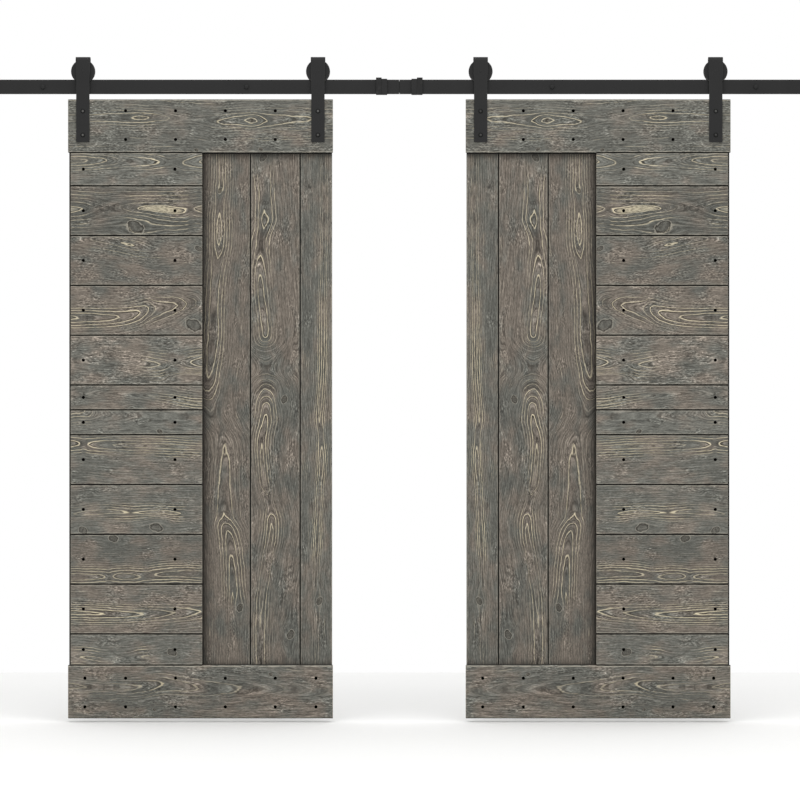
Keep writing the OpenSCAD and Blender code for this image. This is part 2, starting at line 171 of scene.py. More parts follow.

# %% [markdown]
# ## From a shell to a piece
# A piece is a mesh object with one finish. It rides on one moving body of the CAD model, and it
# stands for the CAD nodes that it hides. Its mesh stores the grain map and three masks, so that
# a finish can find the paler edges, which are partly wear and partly painted highlight, the
# seams, which take painted shade, and the sawn ends.


# %% Pieces
def piece(name, shell, finish, body, slot, stands_for=()):
    """Puts a shell into a mesh object, gives it its finish and sets it riding on a CAD body."""
    mesh = bpy.data.meshes.new(name)
    caps = shell["caps"]
    loops = np.concatenate([shell["quads"].ravel()] + caps)
    sizes = np.array([4] * len(shell["quads"]) + [len(cap) for cap in caps])
    grain = [shell["grain"].reshape(-1, 2)] + [shell["grain_at"][cap] for cap in caps]
    flat = np.arange(len(sizes)) >= len(shell["quads"])
    mesh.vertices.add(len(shell["points"]))
    mesh.vertices.foreach_set("co", shell["points"].ravel())
    mesh.loops.add(len(loops))
    mesh.loops.foreach_set("vertex_index", loops)
    mesh.polygons.add(len(sizes))
    mesh.polygons.foreach_set("loop_start", np.cumsum(sizes) - sizes)
    mesh.update(calc_edges=True)
    mesh.polygons.foreach_set("use_smooth", ~flat)
    grain_map = mesh.uv_layers.new(name="grain")
    grain_map.uv.foreach_set("vector", np.concatenate(grain).astype(np.float32).ravel())
    for mask in ("worn", "soiled"):
        stored = mesh.attributes.new(mask, "FLOAT", "POINT")
        stored.data.foreach_set("value", shell[mask].astype(np.float32))
    mesh.attributes.new("cut_end", "FLOAT", "FACE").data.foreach_set("value", flat.astype(float))
    mesh.validate()
    mesh.materials.append(finish)
    ob = bpy.data.objects.new(name, mesh)
    bpy.context.scene.collection.objects.link(ob)
    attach(ob, body)
    if stands_for:
        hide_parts(*stands_for)
    return ob


def on_both_doors(name, shell, finish, rest_of_body, slot, nodes=()):
    """One piece on the left door and its mirror image on the right door."""
    for side, shape in (("left", shell), ("right", mirrored(shell))):
        piece(f"{side}_{name}", shape, finish, f"{side}_{rest_of_body}", slot,
              [f"{side}_{node}" for node in nodes])


print("bodies that a piece can ride on: the rail, two doors and", 2 * 2, "wheels")


# %% [markdown]
# ## Outlines with eased corners
# No corner on a real board or a rolled bar is sharp. Each corner of an outline is replaced by a
# short parabola, P(t) = (1-t)^2 A + 2t(1-t) C + t^2 B, which starts and ends a little way from
# the corner C. One more point beyond each end keeps the flat faces looking flat.


# %% Eased outlines
ARC = np.array([0, 1 / 3, 2 / 3, 1])


def eased(corners, radius, shoulder=0.8 * MM):
    """corners is (K, 2) or (M, K, 2) and radius is a number or an (M, K) array: the distance
    from each corner at which its parabola starts. Returns M outlines of 6 K points, and a mask
    of the points that lie on the parabolas."""
    corners = np.asarray(corners, float)
    if corners.ndim == 2:
        corners = corners[None]
    before, after = np.roll(corners, 1, 1) - corners, np.roll(corners, -1, 1) - corners
    long_before = np.linalg.norm(before, axis=-1, keepdims=True)
    long_after = np.linalg.norm(after, axis=-1, keepdims=True)
    radius = np.broadcast_to(radius, corners.shape[:2])[..., None, None]
    t = ARC[:, None]
    here = corners[:, :, None]
    a = (before / long_before)[:, :, None] * radius
    b = (after / long_after)[:, :, None] * radius
    step_a = (before / long_before * np.minimum(shoulder, long_before / 10))[:, :, None]
    step_b = (after / long_after * np.minimum(shoulder, long_after / 10))[:, :, None]
    bend = here + (1 - t) ** 2 * a + t ** 2 * b
    outline = np.concatenate([here + a + step_a, bend, here + b + step_b], 2)
    mask = np.zeros(outline.shape[:3])
    mask[:, :, 1:5] = 1
    m = len(outline)
    return outline.reshape(m, -1, 2), mask.reshape(m, -1)


def ripple(t, seed, waves=5):
    """A smooth random line between about -1 and 1: a sum of sines of seeded length and phase."""
    draw = np.random.default_rng(seed)
    lengths = draw.uniform(0.02, 0.25, waves)
    phases = draw.uniform(0, 2 * math.pi, waves)
    return np.sin(t[:, None] * 2 * math.pi / lengths + phases).sum(1) / math.sqrt(waves) / 1.4


SQUARE = np.array([[-1, 1], [1, 1], [1, -1], [-1, -1]])
print("an eased square has", eased(SQUARE, 0.1)[0].shape[1], "points")

# %% [markdown]
# ## A plank
# A plank is its cross-section carried along the grain. A machine leaves a straight arris, but
# these boards were eased by hand and brushed, so the ease of each front corner swells and
# shrinks along the board, and the sawn ends are eased as well. The section shrinks towards the
# end by e (1 - cos a) while the path advances by e (1 - sin a), which is a quarter circle.


# %% Planks
NOWHERE, ALL_ALONG = (-1, -1), (0, 10)
AS_SAWN = 0.3 * MM
ROW = 9 * MM


def plank(corners, length, ease, seed, wear=0.2, front_corners=(0, 1),
          touching=(NOWHERE, NOWHERE), end=1.6 * MM, back_ease=AS_SAWN):
    """corners: the section's outline in (across, depth), with depth 0 at the face and negative
    behind it. Returns outlines in (across, depth), their places along the board, and two masks:
    the lips of the eased edges, which are made paler for wear and as a painted highlight, and
    the sides between them where a neighbour touches, which take painted seam shade.
    touching says from where to where along the board that is, on the edge at + and at - across."""
    quarter = np.linspace(0, math.pi / 2, 5)
    rim = end * (1 - np.cos(quarter))
    inner = np.linspace(end, length - end, max(3, int(length / ROW)))[1:-1]
    along = np.concatenate([rim, inner, length - rim[::-1]])
    edge = np.minimum(along, length - along)
    inset = end - np.sqrt(end ** 2 - (end - edge.clip(0, end)) ** 2)
    corners = np.asarray(corners, float)
    deep = -corners[:, 1].min()
    radius = np.full((len(along), len(corners)), AS_SAWN)
    radius[:, -corners[:, 1] >= deep] = back_ease
    for k in front_corners:
        radius[:, k] = ease * (1 + wear * ripple(along, seed + k)).clip(0.35, 2.2)
    outline, mask = eased(np.broadcast_to(corners, (len(along), *corners.shape)), radius, 3 * MM)
    middle = (corners.min(0) + corners.max(0)) / 2
    half = (corners.max(0) - corners.min(0)) / 2
    outline = middle + (outline - middle) * (1 - inset[:, None] / half)[:, None]
    depth = -outline[..., 1]
    lip, sunk = 0.03 * ease, inset[:, None]
    on_face = (depth < sunk + lip) | (depth > deep - sunk - lip)
    # The lips of the eased edges are made paler, for wear and as a painted highlight.
    worn = np.maximum(mask * on_face, (sunk > 0) * (depth < 2.5 * ease) * 0.8)
    first, second = [((along >= low) & (along <= high))[:, None] for low, high in touching]
    beside = np.where(outline[..., 0] > middle[0], first, second)
    # The sides where a neighbour touches take painted seam shade.
    soiled = beside * ~on_face
    return outline, along, {"worn": worn, "soiled": soiled.astype(float)}


def laid(outline, along, masks, start, grain_way, across_way):
    """Carries a plank's outlines from start along grain_way, with its face towards -Y."""
    grain_way, across_way = np.asarray(grain_way, float), np.asarray(across_way, float)
    rings = (np.asarray(start, float) + along[:, None, None] * grain_way
             + outline[..., :1] * across_way + outline[..., 1:] * np.array([0, -1, 0]))
    width = outline[len(outline) // 2]
    around = arc_lengths(np.concatenate([width, width[:1]]))
    face_start = np.argmax(width[:, 1] > -0.1 * MM)
    across = width[face_start, 0] + around - around[face_start]
    return carried(rings, along, across, **masks)


def plain_section(width, thick):
    """The corners of a plain board's or bar's section: face, then back."""
    return np.array([[-width / 2, 0], [width / 2, 0], [width / 2, -thick], [-width / 2, -thick]])


trial = plank(plain_section(board_w, board_t), 1.0, AS_SAWN, 0)[0]
print("a plank of 1 m is", trial.shape[0], "outlines of", trial.shape[1], "points")

# %% [markdown]
# ## Shader maths
# A shader node tree reads badly as a list of nodes. The small class below wraps one socket, so
# that a pattern is written as a formula: each operator adds its Math node.


# %% Fields
class Field:
    """A number that varies over a surface. Operators on fields add Math nodes."""

    def __init__(self, finish, socket):
        self.finish = finish
        self.socket = socket

    def __add__(self, other):
        return self.finish.math("ADD", self, other)

    def __radd__(self, other):
        return self.finish.math("ADD", other, self)

    def __sub__(self, other):
        return self.finish.math("SUBTRACT", self, other)

    def __rsub__(self, other):
        return self.finish.math("SUBTRACT", other, self)

    def __mul__(self, other):
        return self.finish.math("MULTIPLY", self, other)

    def __rmul__(self, other):
        return self.finish.math("MULTIPLY", other, self)

    def __truediv__(self, other):
        return self.finish.math("DIVIDE", self, other)

    def __pow__(self, other):
        return self.finish.math("POWER", self, other)

    def __abs__(self):
        return self.finish.math("ABSOLUTE", self)

    def root(self):
        return self.finish.math("SQRT", self)

    def exp(self):
        return self.finish.math("EXPONENT", self)

    def floor(self):
        return self.finish.math("FLOOR", self)

    def frac(self):
        return self.finish.math("FRACT", self)

    def cap(self):
        """Kept between 0 and 1."""
        return self.finish.node("Clamp", {}, {"Value": self})

    def most(self, other):
        """The larger of the two."""
        return self.finish.math("MAXIMUM", self, other)

    def step(self, low, high):
        """0 below low, 1 above high, and smooth between."""
        return self.finish.node("MapRange", {"interpolation_type": "SMOOTHSTEP"},
                                {"Value": self, "From Min": low, "From Max": high})

    def peak(self, middle, width):
        """1 at middle, falling in a straight line to 0 at the distance width."""
        return (1 - abs(self - middle) / width).cap()


OPERATORS = [name for name in vars(Field) if name.startswith("__") and name != "__init__"]
print("a field is a number with", len(OPERATORS), "special methods")

# %% [markdown]
# ## A finish
# A second class holds the node tree of one finish. Its node method adds any kind of node, first
# its settings and then its values or links, and the others are short names for the kinds that
# are used most. Colours are given as they look on a screen, but a shader works in linear light.


# %% Finishes
class Finish:
    """One material and its node tree."""

    def __init__(self, name):
        self.material = bpy.data.materials.new(name)
        self.material.use_nodes = True
        self.tree = self.material.node_tree
        self.tree.nodes.clear()

    def node(self, kind, settings, inputs, out=0):
        """Adds a shader node: settings first, then the values or links of its sockets."""
        made = self.tree.nodes.new("ShaderNode" + kind)
        for key, value in settings.items():
            setattr(made, key, value)
        for key, value in inputs.items():
            if isinstance(value, Field):
                self.tree.links.new(value.socket, made.inputs[key])
            else:
                made.inputs[key].default_value = value
        return Field(self, made.outputs[out]) if made.outputs else None

    def math(self, operation, *values):
        return self.node("Math", {"operation": operation}, dict(enumerate(values)))

    def at(self, x, y, z=0.0):
        """A place made of three numbers or fields."""
        return self.node("CombineXYZ", {}, {"X": x, "Y": y, "Z": z})

    def noise(self, place, scale=1.0, detail=2.0, roughness=0.5):
        return self.node("TexNoise", {}, {"Vector": place, "Scale": scale, "Detail": detail,
                                          "Roughness": roughness})

    def mix(self, factor, first, second):
        """Between two colours."""
        return self.node("Mix", {"data_type": "RGBA"}, {0: factor, 6: first, 7: second}, 2)

    def shaded(self, colour, brightness):
        """A colour multiplied by a number."""
        grey = self.node("CombineColor", {}, {0: brightness, 1: brightness, 2: brightness})
        return self.node("Mix", {"data_type": "RGBA", "blend_type": "MULTIPLY"},
                         {0: 1.0, 6: colour, 7: grey}, 2)

    def stored(self, name):
        """A mask that is stored in the piece's mesh: the edges made paler for wear and a painted
        highlight, the painted seam shade, or the sawn ends.
        """
        return self.node("Attribute", {"attribute_name": name}, {}, 2)

    def spot(self):
        """The place on the piece in metres."""
        return self.node("TexCoord", {}, {}, 3)

    def bumped(self, height, strength, distance):
        return self.node("Bump", {}, {"Height": height, "Strength": strength, "Distance": distance})

    def surface(self, inputs):
        """Ends the tree in a Principled shader."""
        shader = self.node("BsdfPrincipled", {}, inputs)
        self.node("OutputMaterial", {}, {"Surface": shader})
        return self.material


def tint(red, green, blue):
    """A colour given as 0 to 255 on a screen, as the linear light that a shader works in."""
    screen = np.array([red, green, blue]) / 255
    light = np.where(screen <= 0.04045, screen / 12.92, ((screen + 0.055) / 1.055) ** 2.4)
    return (*light, 1.0)


print("half grey on a screen is", round(tint(128, 128, 128)[0], 3), "of full light")

# %% [markdown]
# ## Grey-stained, wire-brushed pine
# Pine shows its yearly rings. A sawn face cuts through nested cones round the pith, so in ring
# widths the distance from the pith is F = root(((across - pith) / spacing)^2 + depth^2), and its
# whole-number level lines are what we see. Where the depth grows along the board the lines
# close in arches, where it dips they close in a lens, and where it is steady they run straight.
# So a board is described by its pith line: rows of (along, across, depth, brightness), in mm,
# mm, ring widths and 0 to 1. A knot pushes the lines aside, and a swell adds rings of its own.
# A wire brush leaves thin cream lines beside dark ones, and these lines also paint in the
# highlight and shade of the brushed ridges. The stain between them is bluish in some places and
# brown in others, and it is mottled like scales.

# %% Wood colours
COOL = tint(104, 104, 98)
WARM = tint(115, 107, 98)
CREAM = tint(216, 204, 174)
PALE = tint(156, 151, 139)
DARK = tint(46, 42, 37)
KNOT = tint(80, 76, 69)
# Paler edges: wear, and a painted highlight where the light catches the arris.
ARRIS = tint(166, 161, 148)
# Near-black painted shade for the seams and the shaded corners.
SOIL = tint(20, 19, 17)
END = tint(88, 80, 70)
print("stain in linear light, cool then warm:", np.round(COOL[:3], 2), np.round(WARM[:3], 2))

# %% [markdown]
# ## Patterns along a board
# Every pattern in wood is longer along the grain than across it. So noise is read at a place
# that is divided by one length along and a smaller one across, which stretches its patches. The
# pith line is a curve node, because a curve can pass smoothly through any rows of numbers.


# %% Patterns along a board
class Timber(Finish):
    """A finish that knows its place on a board: u along the grain and v across it, in mm."""

    def __init__(self, name, seed):
        super().__init__(name)
        place = self.node("UVMap", {"uv_map": "grain"}, {})
        self.u = self.node("SeparateXYZ", {}, {"Vector": place}, 0) * 1000
        self.v = self.node("SeparateXYZ", {}, {"Vector": place}, 1) * 1000
        self.far = seed * 7.3

    def patches(self, long, wide, number, detail=2.0, roughness=0.5, across=None):
        """Noise with patches about long mm along the grain and wide mm across it. Each number
        gives another pattern."""
        across = self.v if across is None else across
        place = self.at(self.u / long, across / wide, self.far + number)
        return self.noise(place, detail=detail, roughness=roughness)

    def line_through(self, rows, column, low, high):
        """A smooth curve over the length of the board, through one column of the pith rows."""
        longest = rows[-1][0]
        curve = self.node("FloatCurve", {}, {"Value": self.u / longest})
        mapping = curve.socket.node.mapping
        points = mapping.curves[0].points
        while len(points) < len(rows):
            points.new(0.5, 0.5)
        for point, row in zip(points, rows):
            point.location = (row[0] / longest, (row[column] - low) / (high - low))
        mapping.update()
        return curve * (high - low) + low


print("a board's finish adds:", ", ".join(name for name in vars(Timber) if name[0] != "_"))

# %% [markdown]
# ## Knots
# A knot is a branch that the board was sawn through. Its core is darker wood with tight rings,
# its bark shows as a dark, broken rim, and pale wood closes round it. The yearly rings bend past
# it, so the place across the board is pushed away from the knot before any ring is drawn.

# %% Knots
BEND_ALONG, BEND_ACROSS = 3.6, 1.8


def knotted(f, across, knots):
    """The place across the board pushed round each knot, and four masks: core, rim, halo and
    the calm wood near by, which is exp(-(du / 3.6 r)^2 - (dv / 1.8 r)^2). The distance from a
    knot is root(lean^2 + dv^2) / r, where lean is 0.8 du + 0.3 dv, plus noise that makes its
    outline ragged."""
    calm = f.math("MULTIPLY", 0.0, 0.0)
    core, rim, halo = calm, calm, calm
    for knot_u, knot_v, radius in knots:
        du, dv = f.u - knot_u, f.v - knot_v
        reach = (du / (radius * BEND_ALONG)) ** 2 + (dv / (radius * BEND_ACROSS)) ** 2
        near = (reach * -1).exp()
        across = across - dv * near * 0.9
        ragged = (f.patches(15, 15, knot_u) - 0.5) * 0.7
        lean = du * 0.8 + dv * 0.3
        away = (lean ** 2 + dv ** 2).root() / radius + ragged
        gaps = f.patches(11, 11, knot_v).step(0.30, 0.42)
        core = core.most((1 - away.step(0.6, 0.75)) * min(0.85, 8 / radius))
        rim = rim.most(away.peak(0.76, 0.16) * gaps).most(away.peak(0.45, 0.12) * (1 - gaps) * 0.8)
        halo = halo.most(away.peak(0.93, 0.11) * (0.4 + gaps * 0.6))
        calm = calm.most(near)
    return across, core, rim, halo, calm


print("a knot bends the rings", BEND_ALONG, "radii along and", BEND_ACROSS, "across")

# %% [markdown]
# ## Rings
# The number of each ring seeds how bold it is. A ring shows as a light line with a dark line
# beside it, and both are wider where the saw met the ring at a flat angle. The lines fade far
# from the pith, where only some patches keep faint ones, and they are broken into dashes.

# %% Rings
LINE_WIDTH = 1.4


def ring_lines(f, across, calm, pith, spacing, streaky, creamy, swells):
    """F = root(side^2 + depth^2), with side in ring widths, plus a bell-shaped hill for each
    swell and a little noise. A line lies where F is a whole number. Returns F, the place within
    a ring, the light and dark lines, which are the grain's colour and also painted highlight and
    shade of the brushed ridges, the lines' power and the pale heart."""
    centre = f.line_through(pith, 1, -100, 100)
    depth = f.line_through(pith, 2, 0, 16)
    bright = f.line_through(pith, 3, 0, 1)
    side = (across - centre) / spacing
    rings = (side ** 2 + depth ** 2).root()
    steep = (abs(side) / (rings + 0.2)).cap() * 0.75 + 0.25
    for swell_u, swell_v, length, width, count in swells:
        hill = ((((f.u - swell_u) / length) ** 2 + ((f.v - swell_v) / width) ** 2) * -1).exp()
        rings = rings + hill * count
        bright = bright.most(hill * 1.6)
    rings = rings + (f.patches(60, 12, 5) - 0.5) * 0.45
    year = (rings + 0.5).floor()
    within = (rings + 0.5).frac() - 0.5
    bold = f.node("TexWhiteNoise", {"noise_dimensions": "1D"}, {"W": year + f.far}, 0)
    close = ((side / 5.5) ** 2 * -1).exp()
    broken = f.patches(16, 2.2, 9, detail=3.0).step(0.36, 0.56)
    patch = f.patches(130, 34, 7).step(0.62 - 0.3 * streaky, 0.8 - 0.2 * streaky)
    strong = (bright * close * (bold * 0.6 + 0.6)) * (broken * 0.45 + 0.55)
    faint = patch * (bold * 0.5 + 0.25) * broken * (1 - calm)
    power = strong.most(faint * 0.6)
    width = steep * (LINE_WIDTH / spacing)
    light_line = ((1 - abs(within) / width) * 2).cap() * power
    dark_line = ((1 - abs(within + width * 2) / (width * 1.3)) * 1.5).cap() * power
    heart = (1 - rings.step(0.7, 0.95)) * bright ** 3 * creamy
    return rings, within, light_line, dark_line, power, heart


print("a light line reaches", LINE_WIDTH, "mm to each side of its ring")

# %% [markdown]
# ## Painted shade
# Shade is painted into the colour of the wood. It is near black in the seams, which the planks
# already marked, and it fades away from the corners where shade falls: beside the slats, along
# each V, and next to the rail boards.

# %% Painted shade
FACE_HALF = 90


def dirt_on(f, scales, grime, shade):
    """The most of the painted seam shade and of every band of painted shade. A band is (1 - t)^1.6
    strength from its start to its end, where t runs from 0 to 1, and its strength is mottled a
    little."""
    dirt = f.stored("soiled")
    on_front = (FACE_HALF - abs(f.v)).cap()
    bands = [(f.v, 1.0, *band) for band in grime] + [(f.u, on_front, *band) for band in shade]
    for way, where, start, end, strength in bands:
        fade = ((way - start) / (end - start)).cap()
        inside = ((way - start) * math.copysign(1000, end - start) + 0.5).cap() * where
        dirt = dirt.most((1 - fade) ** 1.6 * inside * (strength + (scales - 0.5) * 0.3))
    return dirt


print("shade stays within", FACE_HALF, "mm of a board's middle")

# %% [markdown]
# ## The whole wood finish
# The last step lays the parts over each other in the order in which they came to the real
# board: stain, pores and dark lines, brushed light lines, knots, and edges made paler for wear
# and as a painted highlight. Painted shade goes on top.
# The sawn end of a board is darker, and the fibres also stand up a little in the bump.

# %% The wood finish
def pine(name, seed, pith, tone=1.0, warm=0.5, spacing=8.0, mottled=0.5, streaky=0.5,
         creamy=0.12, rubbed=0.7, knots=(), swells=(), grime=(), shade=()):
    """A board's finish. creamy is how much of the innermost ring is pale wood without stain, and
    rubbed how much paler the eased edges get, for wear and as a painted highlight.
    knots are (along, across, radius), swells are (along, across, half length, half width, rings).
    grime is (from, to, strength) of painted shade that fades away across the board, and
    shade is the same along it, on the face only. All are in mm."""
    f = Timber(name, seed)
    drift = (f.patches(230, 90, 0, detail=1.0) - 0.5) * 12
    waver = (f.patches(42, 18, 3, detail=1.0) - 0.5) * 4
    across, core, rim, halo, calm = knotted(f, f.v + drift + waver, knots)
    rings, within, light_line, dark_line, power, heart = ring_lines(
        f, across, calm, pith, spacing, streaky, creamy, swells)

    scales = f.patches(8.5, 2.9, 11, detail=3.0, roughness=0.6)
    flecks = f.patches(13, 3.4, 12, detail=1.0, across=across + f.u * 0.12)
    fibre = f.patches(55, 1.7, 13, across=rings * spacing)
    pores = f.patches(24, 2.2, 23, across=rings * spacing).step(0.54, 0.70)
    stain = f.patches(105, 52, 15, detail=3.0)
    where = f.patches(95, 45, 17, detail=1.0).step(0.62 - 0.3 * mottled, 0.74 - 0.2 * mottled)
    rough = where * (1 - calm) * 0.7 + 0.3
    light = ((scales - 0.5) * rough * 4.4 + (flecks - 0.5) * rough * 2.0
             + (fibre - 0.5) * (2.6 - calm * 1.6) + (stain - 0.5) * 0.6 - within * 0.3)
    base = f.mix((stain - calm * 0.25 + (warm - 0.5)).step(0.34, 0.66), COOL, WARM)
    wood = f.shaded(base, light.exp() * (tone * 0.99))
    # Dark and light ring lines: the grain's own colour, and also painted shade and highlight of the
    # brushed ridges.
    wood = f.mix(dark_line.most(pores * 0.55).cap(), wood, DARK)
    wood = f.mix((light_line * 0.95).cap(), wood, f.mix(power.step(0.15, 0.6), PALE, CREAM))
    wood = f.mix(heart * (scales.step(0.42, 0.6) * 0.4 + 0.45), wood, CREAM)
    if knots:
        knot_rings = f.patches(4, 4, 21)
        wood = f.mix(core, wood, f.shaded(KNOT, ((knot_rings - 0.5) * 5).exp() * 0.9))
        wood = f.mix(halo * 0.7, wood, PALE)
        wood = f.mix(rim * 0.95, wood, DARK)

    # The eased edges are made paler, partly for wear and partly as a painted highlight.
    bare = f.stored("worn") * f.patches(18, 5, 19, detail=3.0).step(0.3, 0.6)
    wood = f.mix((bare * rubbed).cap(), wood, ARRIS)
    # Painted shade: near black in the seams, and fading bands beside the slats, in the V's and next
    # to the rail boards.
    wood = f.mix(dirt_on(f, scales, grime, shade), wood, SOIL)
    wood = f.mix(f.stored("cut_end") * 0.7, wood, END)
    return f.surface({"Base Color": wood, "Roughness": 0.80 + 0.16 * scales,
                      "Specular IOR Level": 0.2,
                      "Normal": f.bumped(scales * 0.5 + fibre * 0.8, 0.5, 0.0006)})


print("one wood finish takes", pine.__code__.co_argcount, "settings")

# %% [markdown]
# ## The boards of the front layer
# A rail board crosses the top and the bottom of each door, and twelve slats fill the outer half
# between them. They are separate boards on the real door, so each one is a piece with its own
# pith line, knots and tone. Along runs from the board's left end and across from its middle.

# %% Front boards
slat_x = np.array([BOX["left_upper_slats"][LOW, X], BOX["left_upper_slats"][HIGH, X]])
SEAM = 1.0 * MM
end_slats = field_z[1] - mid_z - 4.5 * board_w, mid_z - field_z[0] - 4.5 * board_w
heights = [end_slats[0], *[board_w] * 4, board_w / 2, board_w / 2, *[board_w] * 4, end_slats[1]]
tops = field_z[1] - np.concatenate([[0], np.cumsum(heights)[:-1]])

RAILS = {
    "top_board": dict(
        seed=1, tone=0.88, warm=0.38, spacing=9.0, mottled=0.75, streaky=0.9,
        pith=((0, 25, 1.6, 0.4), (215, 28, 1.0, 0.8), (250, 28, 0.8, 0.9), (300, 27, 1.4, 0.6),
              (440, 20, 2.6, 0.3), (507, 14, 2.0, 0.5), (600, 19, 1.2, 0.8), (640, 19, 0.9, 0.8),
              (688, 20, 2.0, 0.8), (838, 24, 3.0, 0.8), (914, 24, 3.6, 0.6)),
        knots=((634, 19, 8), (444, -83, 7), (666, -82, 7))),
    # On the bottom board the top arris is made paler for wear and as a painted highlight, and the
    # band along its lower edge is painted shade.
    "bottom_board": dict(
        seed=2, tone=0.97, warm=0.48, spacing=8.0, mottled=0.55, streaky=0.75, rubbed=1.7,
        pith=((0, 20, 1.6, 0.5), (120, 14, 2.4, 0.5), (251, 18, 3.0, 0.6), (329, 26, 4.0, 0.7),
              (453, 15, 5.0, 0.5), (600, 10, 6.0, 0.4), (914, 5, 8.0, 0.4)),
        knots=((300, -62, 6), (700, 60, 7)), grime=((-100, -83, 3.4),)),
}
SLATS = [
    dict(seed=11, tone=0.97, warm=0.37, spacing=8.0, mottled=0.45, streaky=0.2,
         pith=((0, 28, 0.4, 0.6), (55, 29, 1.0, 0.8), (125, 29, 2.0, 0.7), (180, 27, 3.0, 0.4),
               (303, 26, 4.0, 0.9), (340, 24, 4.6, 0.3), (385, 22, 4.0, 0.5), (450, 25, 3.0, 0.7))),
    dict(seed=12, tone=0.80, warm=0.45, spacing=13.0, mottled=0.3, streaky=0.75, creamy=0.7,
         pith=((0, 4, 0.6, 0.6), (37, 4, 1.0, 0.9), (100, 5, 2.2, 0.2), (174, 7, 2.0, 0.4),
               (234, 2, 1.0, 1.0), (310, 2, 0.3, 1.0), (399, 2, 1.0, 1.0), (414, 5, 1.3, 0.4),
               (429, 7, 1.0, 0.7), (450, 7, 0.7, 0.6)),
         knots=((222, -57, 25),)),
    dict(seed=13, tone=0.89, warm=0.51, spacing=9.0, mottled=0.8, streaky=0.5,
         pith=((0, 75, 3.0, 0.2), (120, 72, 1.5, 0.6), (229, 50, 1.0, 0.7), (300, 40, 2.0, 0.2),
               (450, 42, 3.0, 0.2)),
         knots=((442, 42, 11),)),
    dict(seed=14, tone=0.93, warm=0.58, spacing=8.5, mottled=0.7, streaky=0.4,
         pith=((0, -26, 0.7, 0.9), (26, -26, 1.0, 0.9), (163, -22, 2.0, 0.9), (239, -8, 3.0, 1.0),
               (269, 2, 4.0, 0.8), (293, 3, 5.0, 0.8), (366, 13, 6.0, 0.8), (398, 16, 7.0, 0.7),
               (434, 20, 8.0, 0.7), (450, 21, 8.6, 0.5)),
         knots=((424, -52, 24),)),
    dict(seed=15, tone=1.06, warm=0.52, spacing=9.0, mottled=0.9, streaky=0.3,
         pith=((0, 0, 3.0, 0.0), (191, -5, 1.6, 0.2), (310, -20, 2.0, 0.9), (355, -16, 3.0, 0.3),
               (416, -11, 2.0, 0.9), (450, -10, 1.2, 1.0)),
         swells=((420, -55, 90, 14, 2.4),)),
    dict(seed=16, tone=0.99, warm=0.5, spacing=8.0, mottled=0.6, streaky=0.4,
         pith=((0, 14, 3.0, 0.2), (244, 8, 1.2, 0.3), (340, -4, 0.7, 0.6), (420, -18, 0.5, 0.9),
               (450, -20, 0.6, 0.8))),
    dict(seed=17, tone=1.06, warm=0.42, spacing=9.0, mottled=0.3, streaky=0.2,
         pith=((0, 34, 0.7, 0.7), (44, 36, 1.0, 0.7), (110, 30, 3.0, 0.1), (450, 20, 5.0, 0.1)),
         knots=((308, -32, 9),)),
    dict(seed=18, tone=0.99, warm=0.48, spacing=9.0, mottled=0.3, streaky=0.55,
         pith=((0, 54, 1.6, 0.9), (31, 54, 2.0, 0.9), (45, 54, 2.3, 0.5), (59, 53, 2.0, 0.9),
               (141, 50, 1.0, 0.5), (250, 48, 0.6, 0.6), (360, 45, 0.5, 0.8), (450, 40, 0.6, 0.5)),
         swells=((440, -53, 110, 13, 2.2),)),
    dict(seed=19, tone=0.99, warm=0.44, spacing=8.0, mottled=0.3, streaky=0.65,
         pith=((0, -15, 1.1, 0.5), (6, -15, 1.0, 0.5), (110, -8, 0.5, 0.6), (220, -12, 1.0, 1.0),
               (300, -11, 0.5, 0.9), (376, -13, 1.0, 1.0), (410, -12, 1.6, 0.4),
               (450, -10, 1.3, 0.6)),
         knots=((295, -62, 18), (42, -72, 14))),
    dict(seed=20, tone=0.88, warm=0.5, spacing=7.5, mottled=0.3, streaky=0.5,
         pith=((0, -60, 1.3, 0.8), (117, -61, 2.0, 0.9), (131, -61, 2.3, 0.6),
               (146, -60, 2.0, 0.9), (190, -60, 1.5, 0.9), (239, -60, 2.0, 0.9),
               (260, -58, 2.3, 0.6), (287, -54, 2.0, 1.0), (389, -50, 1.4, 1.0),
               (450, -52, 1.2, 0.7)),
         knots=((148, 72, 15),), swells=((80, 34, 56, 10, 1.2),)),
    dict(seed=21, tone=0.99, warm=0.52, spacing=7.5, mottled=0.5, streaky=0.95,
         pith=((0, -14, 0.6, 0.8), (115, -16, 1.0, 0.9), (247, -18, 2.0, 0.7), (350, -14, 3.0, 0.6),
               (450, -10, 4.0, 0.7))),
    dict(seed=22, tone=1.06, warm=0.46, spacing=9.0, mottled=0.25, streaky=0.2,
         pith=((0, -24, 1.4, 0.2), (36, -24, 1.0, 0.8), (120, -34, 0.7, 0.4), (200, -30, 1.6, 0.1),
               (244, -27, 1.0, 0.8), (290, -27, 0.6, 0.3), (450, -20, 0.8, 0.1)),
         knots=((348, -9, 14),)),
]
print("slat heights, mm:", np.round(np.array(heights) / MM, 1))

# %% [markdown]
# ## Laying the front boards
# A slat leaves a thin seam round it, while a rail board fills its height. The edge of a rail
# board touches the slats for half of the width only, so painted seam shade lies on that half only.

# %% Laying the front boards
EASE = 3.1 * MM
beside_slats = (0, slat_x[HIGH] - door_x[LOW])


def level_board(name, x_range, top, height, character, nodes, touching=(ALL_ALONG, ALL_ALONG)):
    """A horizontal board, from its top edge downwards, its grain running towards +X."""
    gap = 0 if name in RAILS else SEAM
    outline, along, masks = plank(plain_section(height - gap, board_t), x_range[1] - x_range[0],
                                  EASE, character["seed"], touching=touching)
    start = (x_range[0], front_y, top - height / 2)
    shell = laid(outline, along, masks, start, (1, 0, 0), (0, 0, 1))
    on_both_doors(name, shell, pine(f"pine_{name}", **character), "door", "wood_boards", nodes)


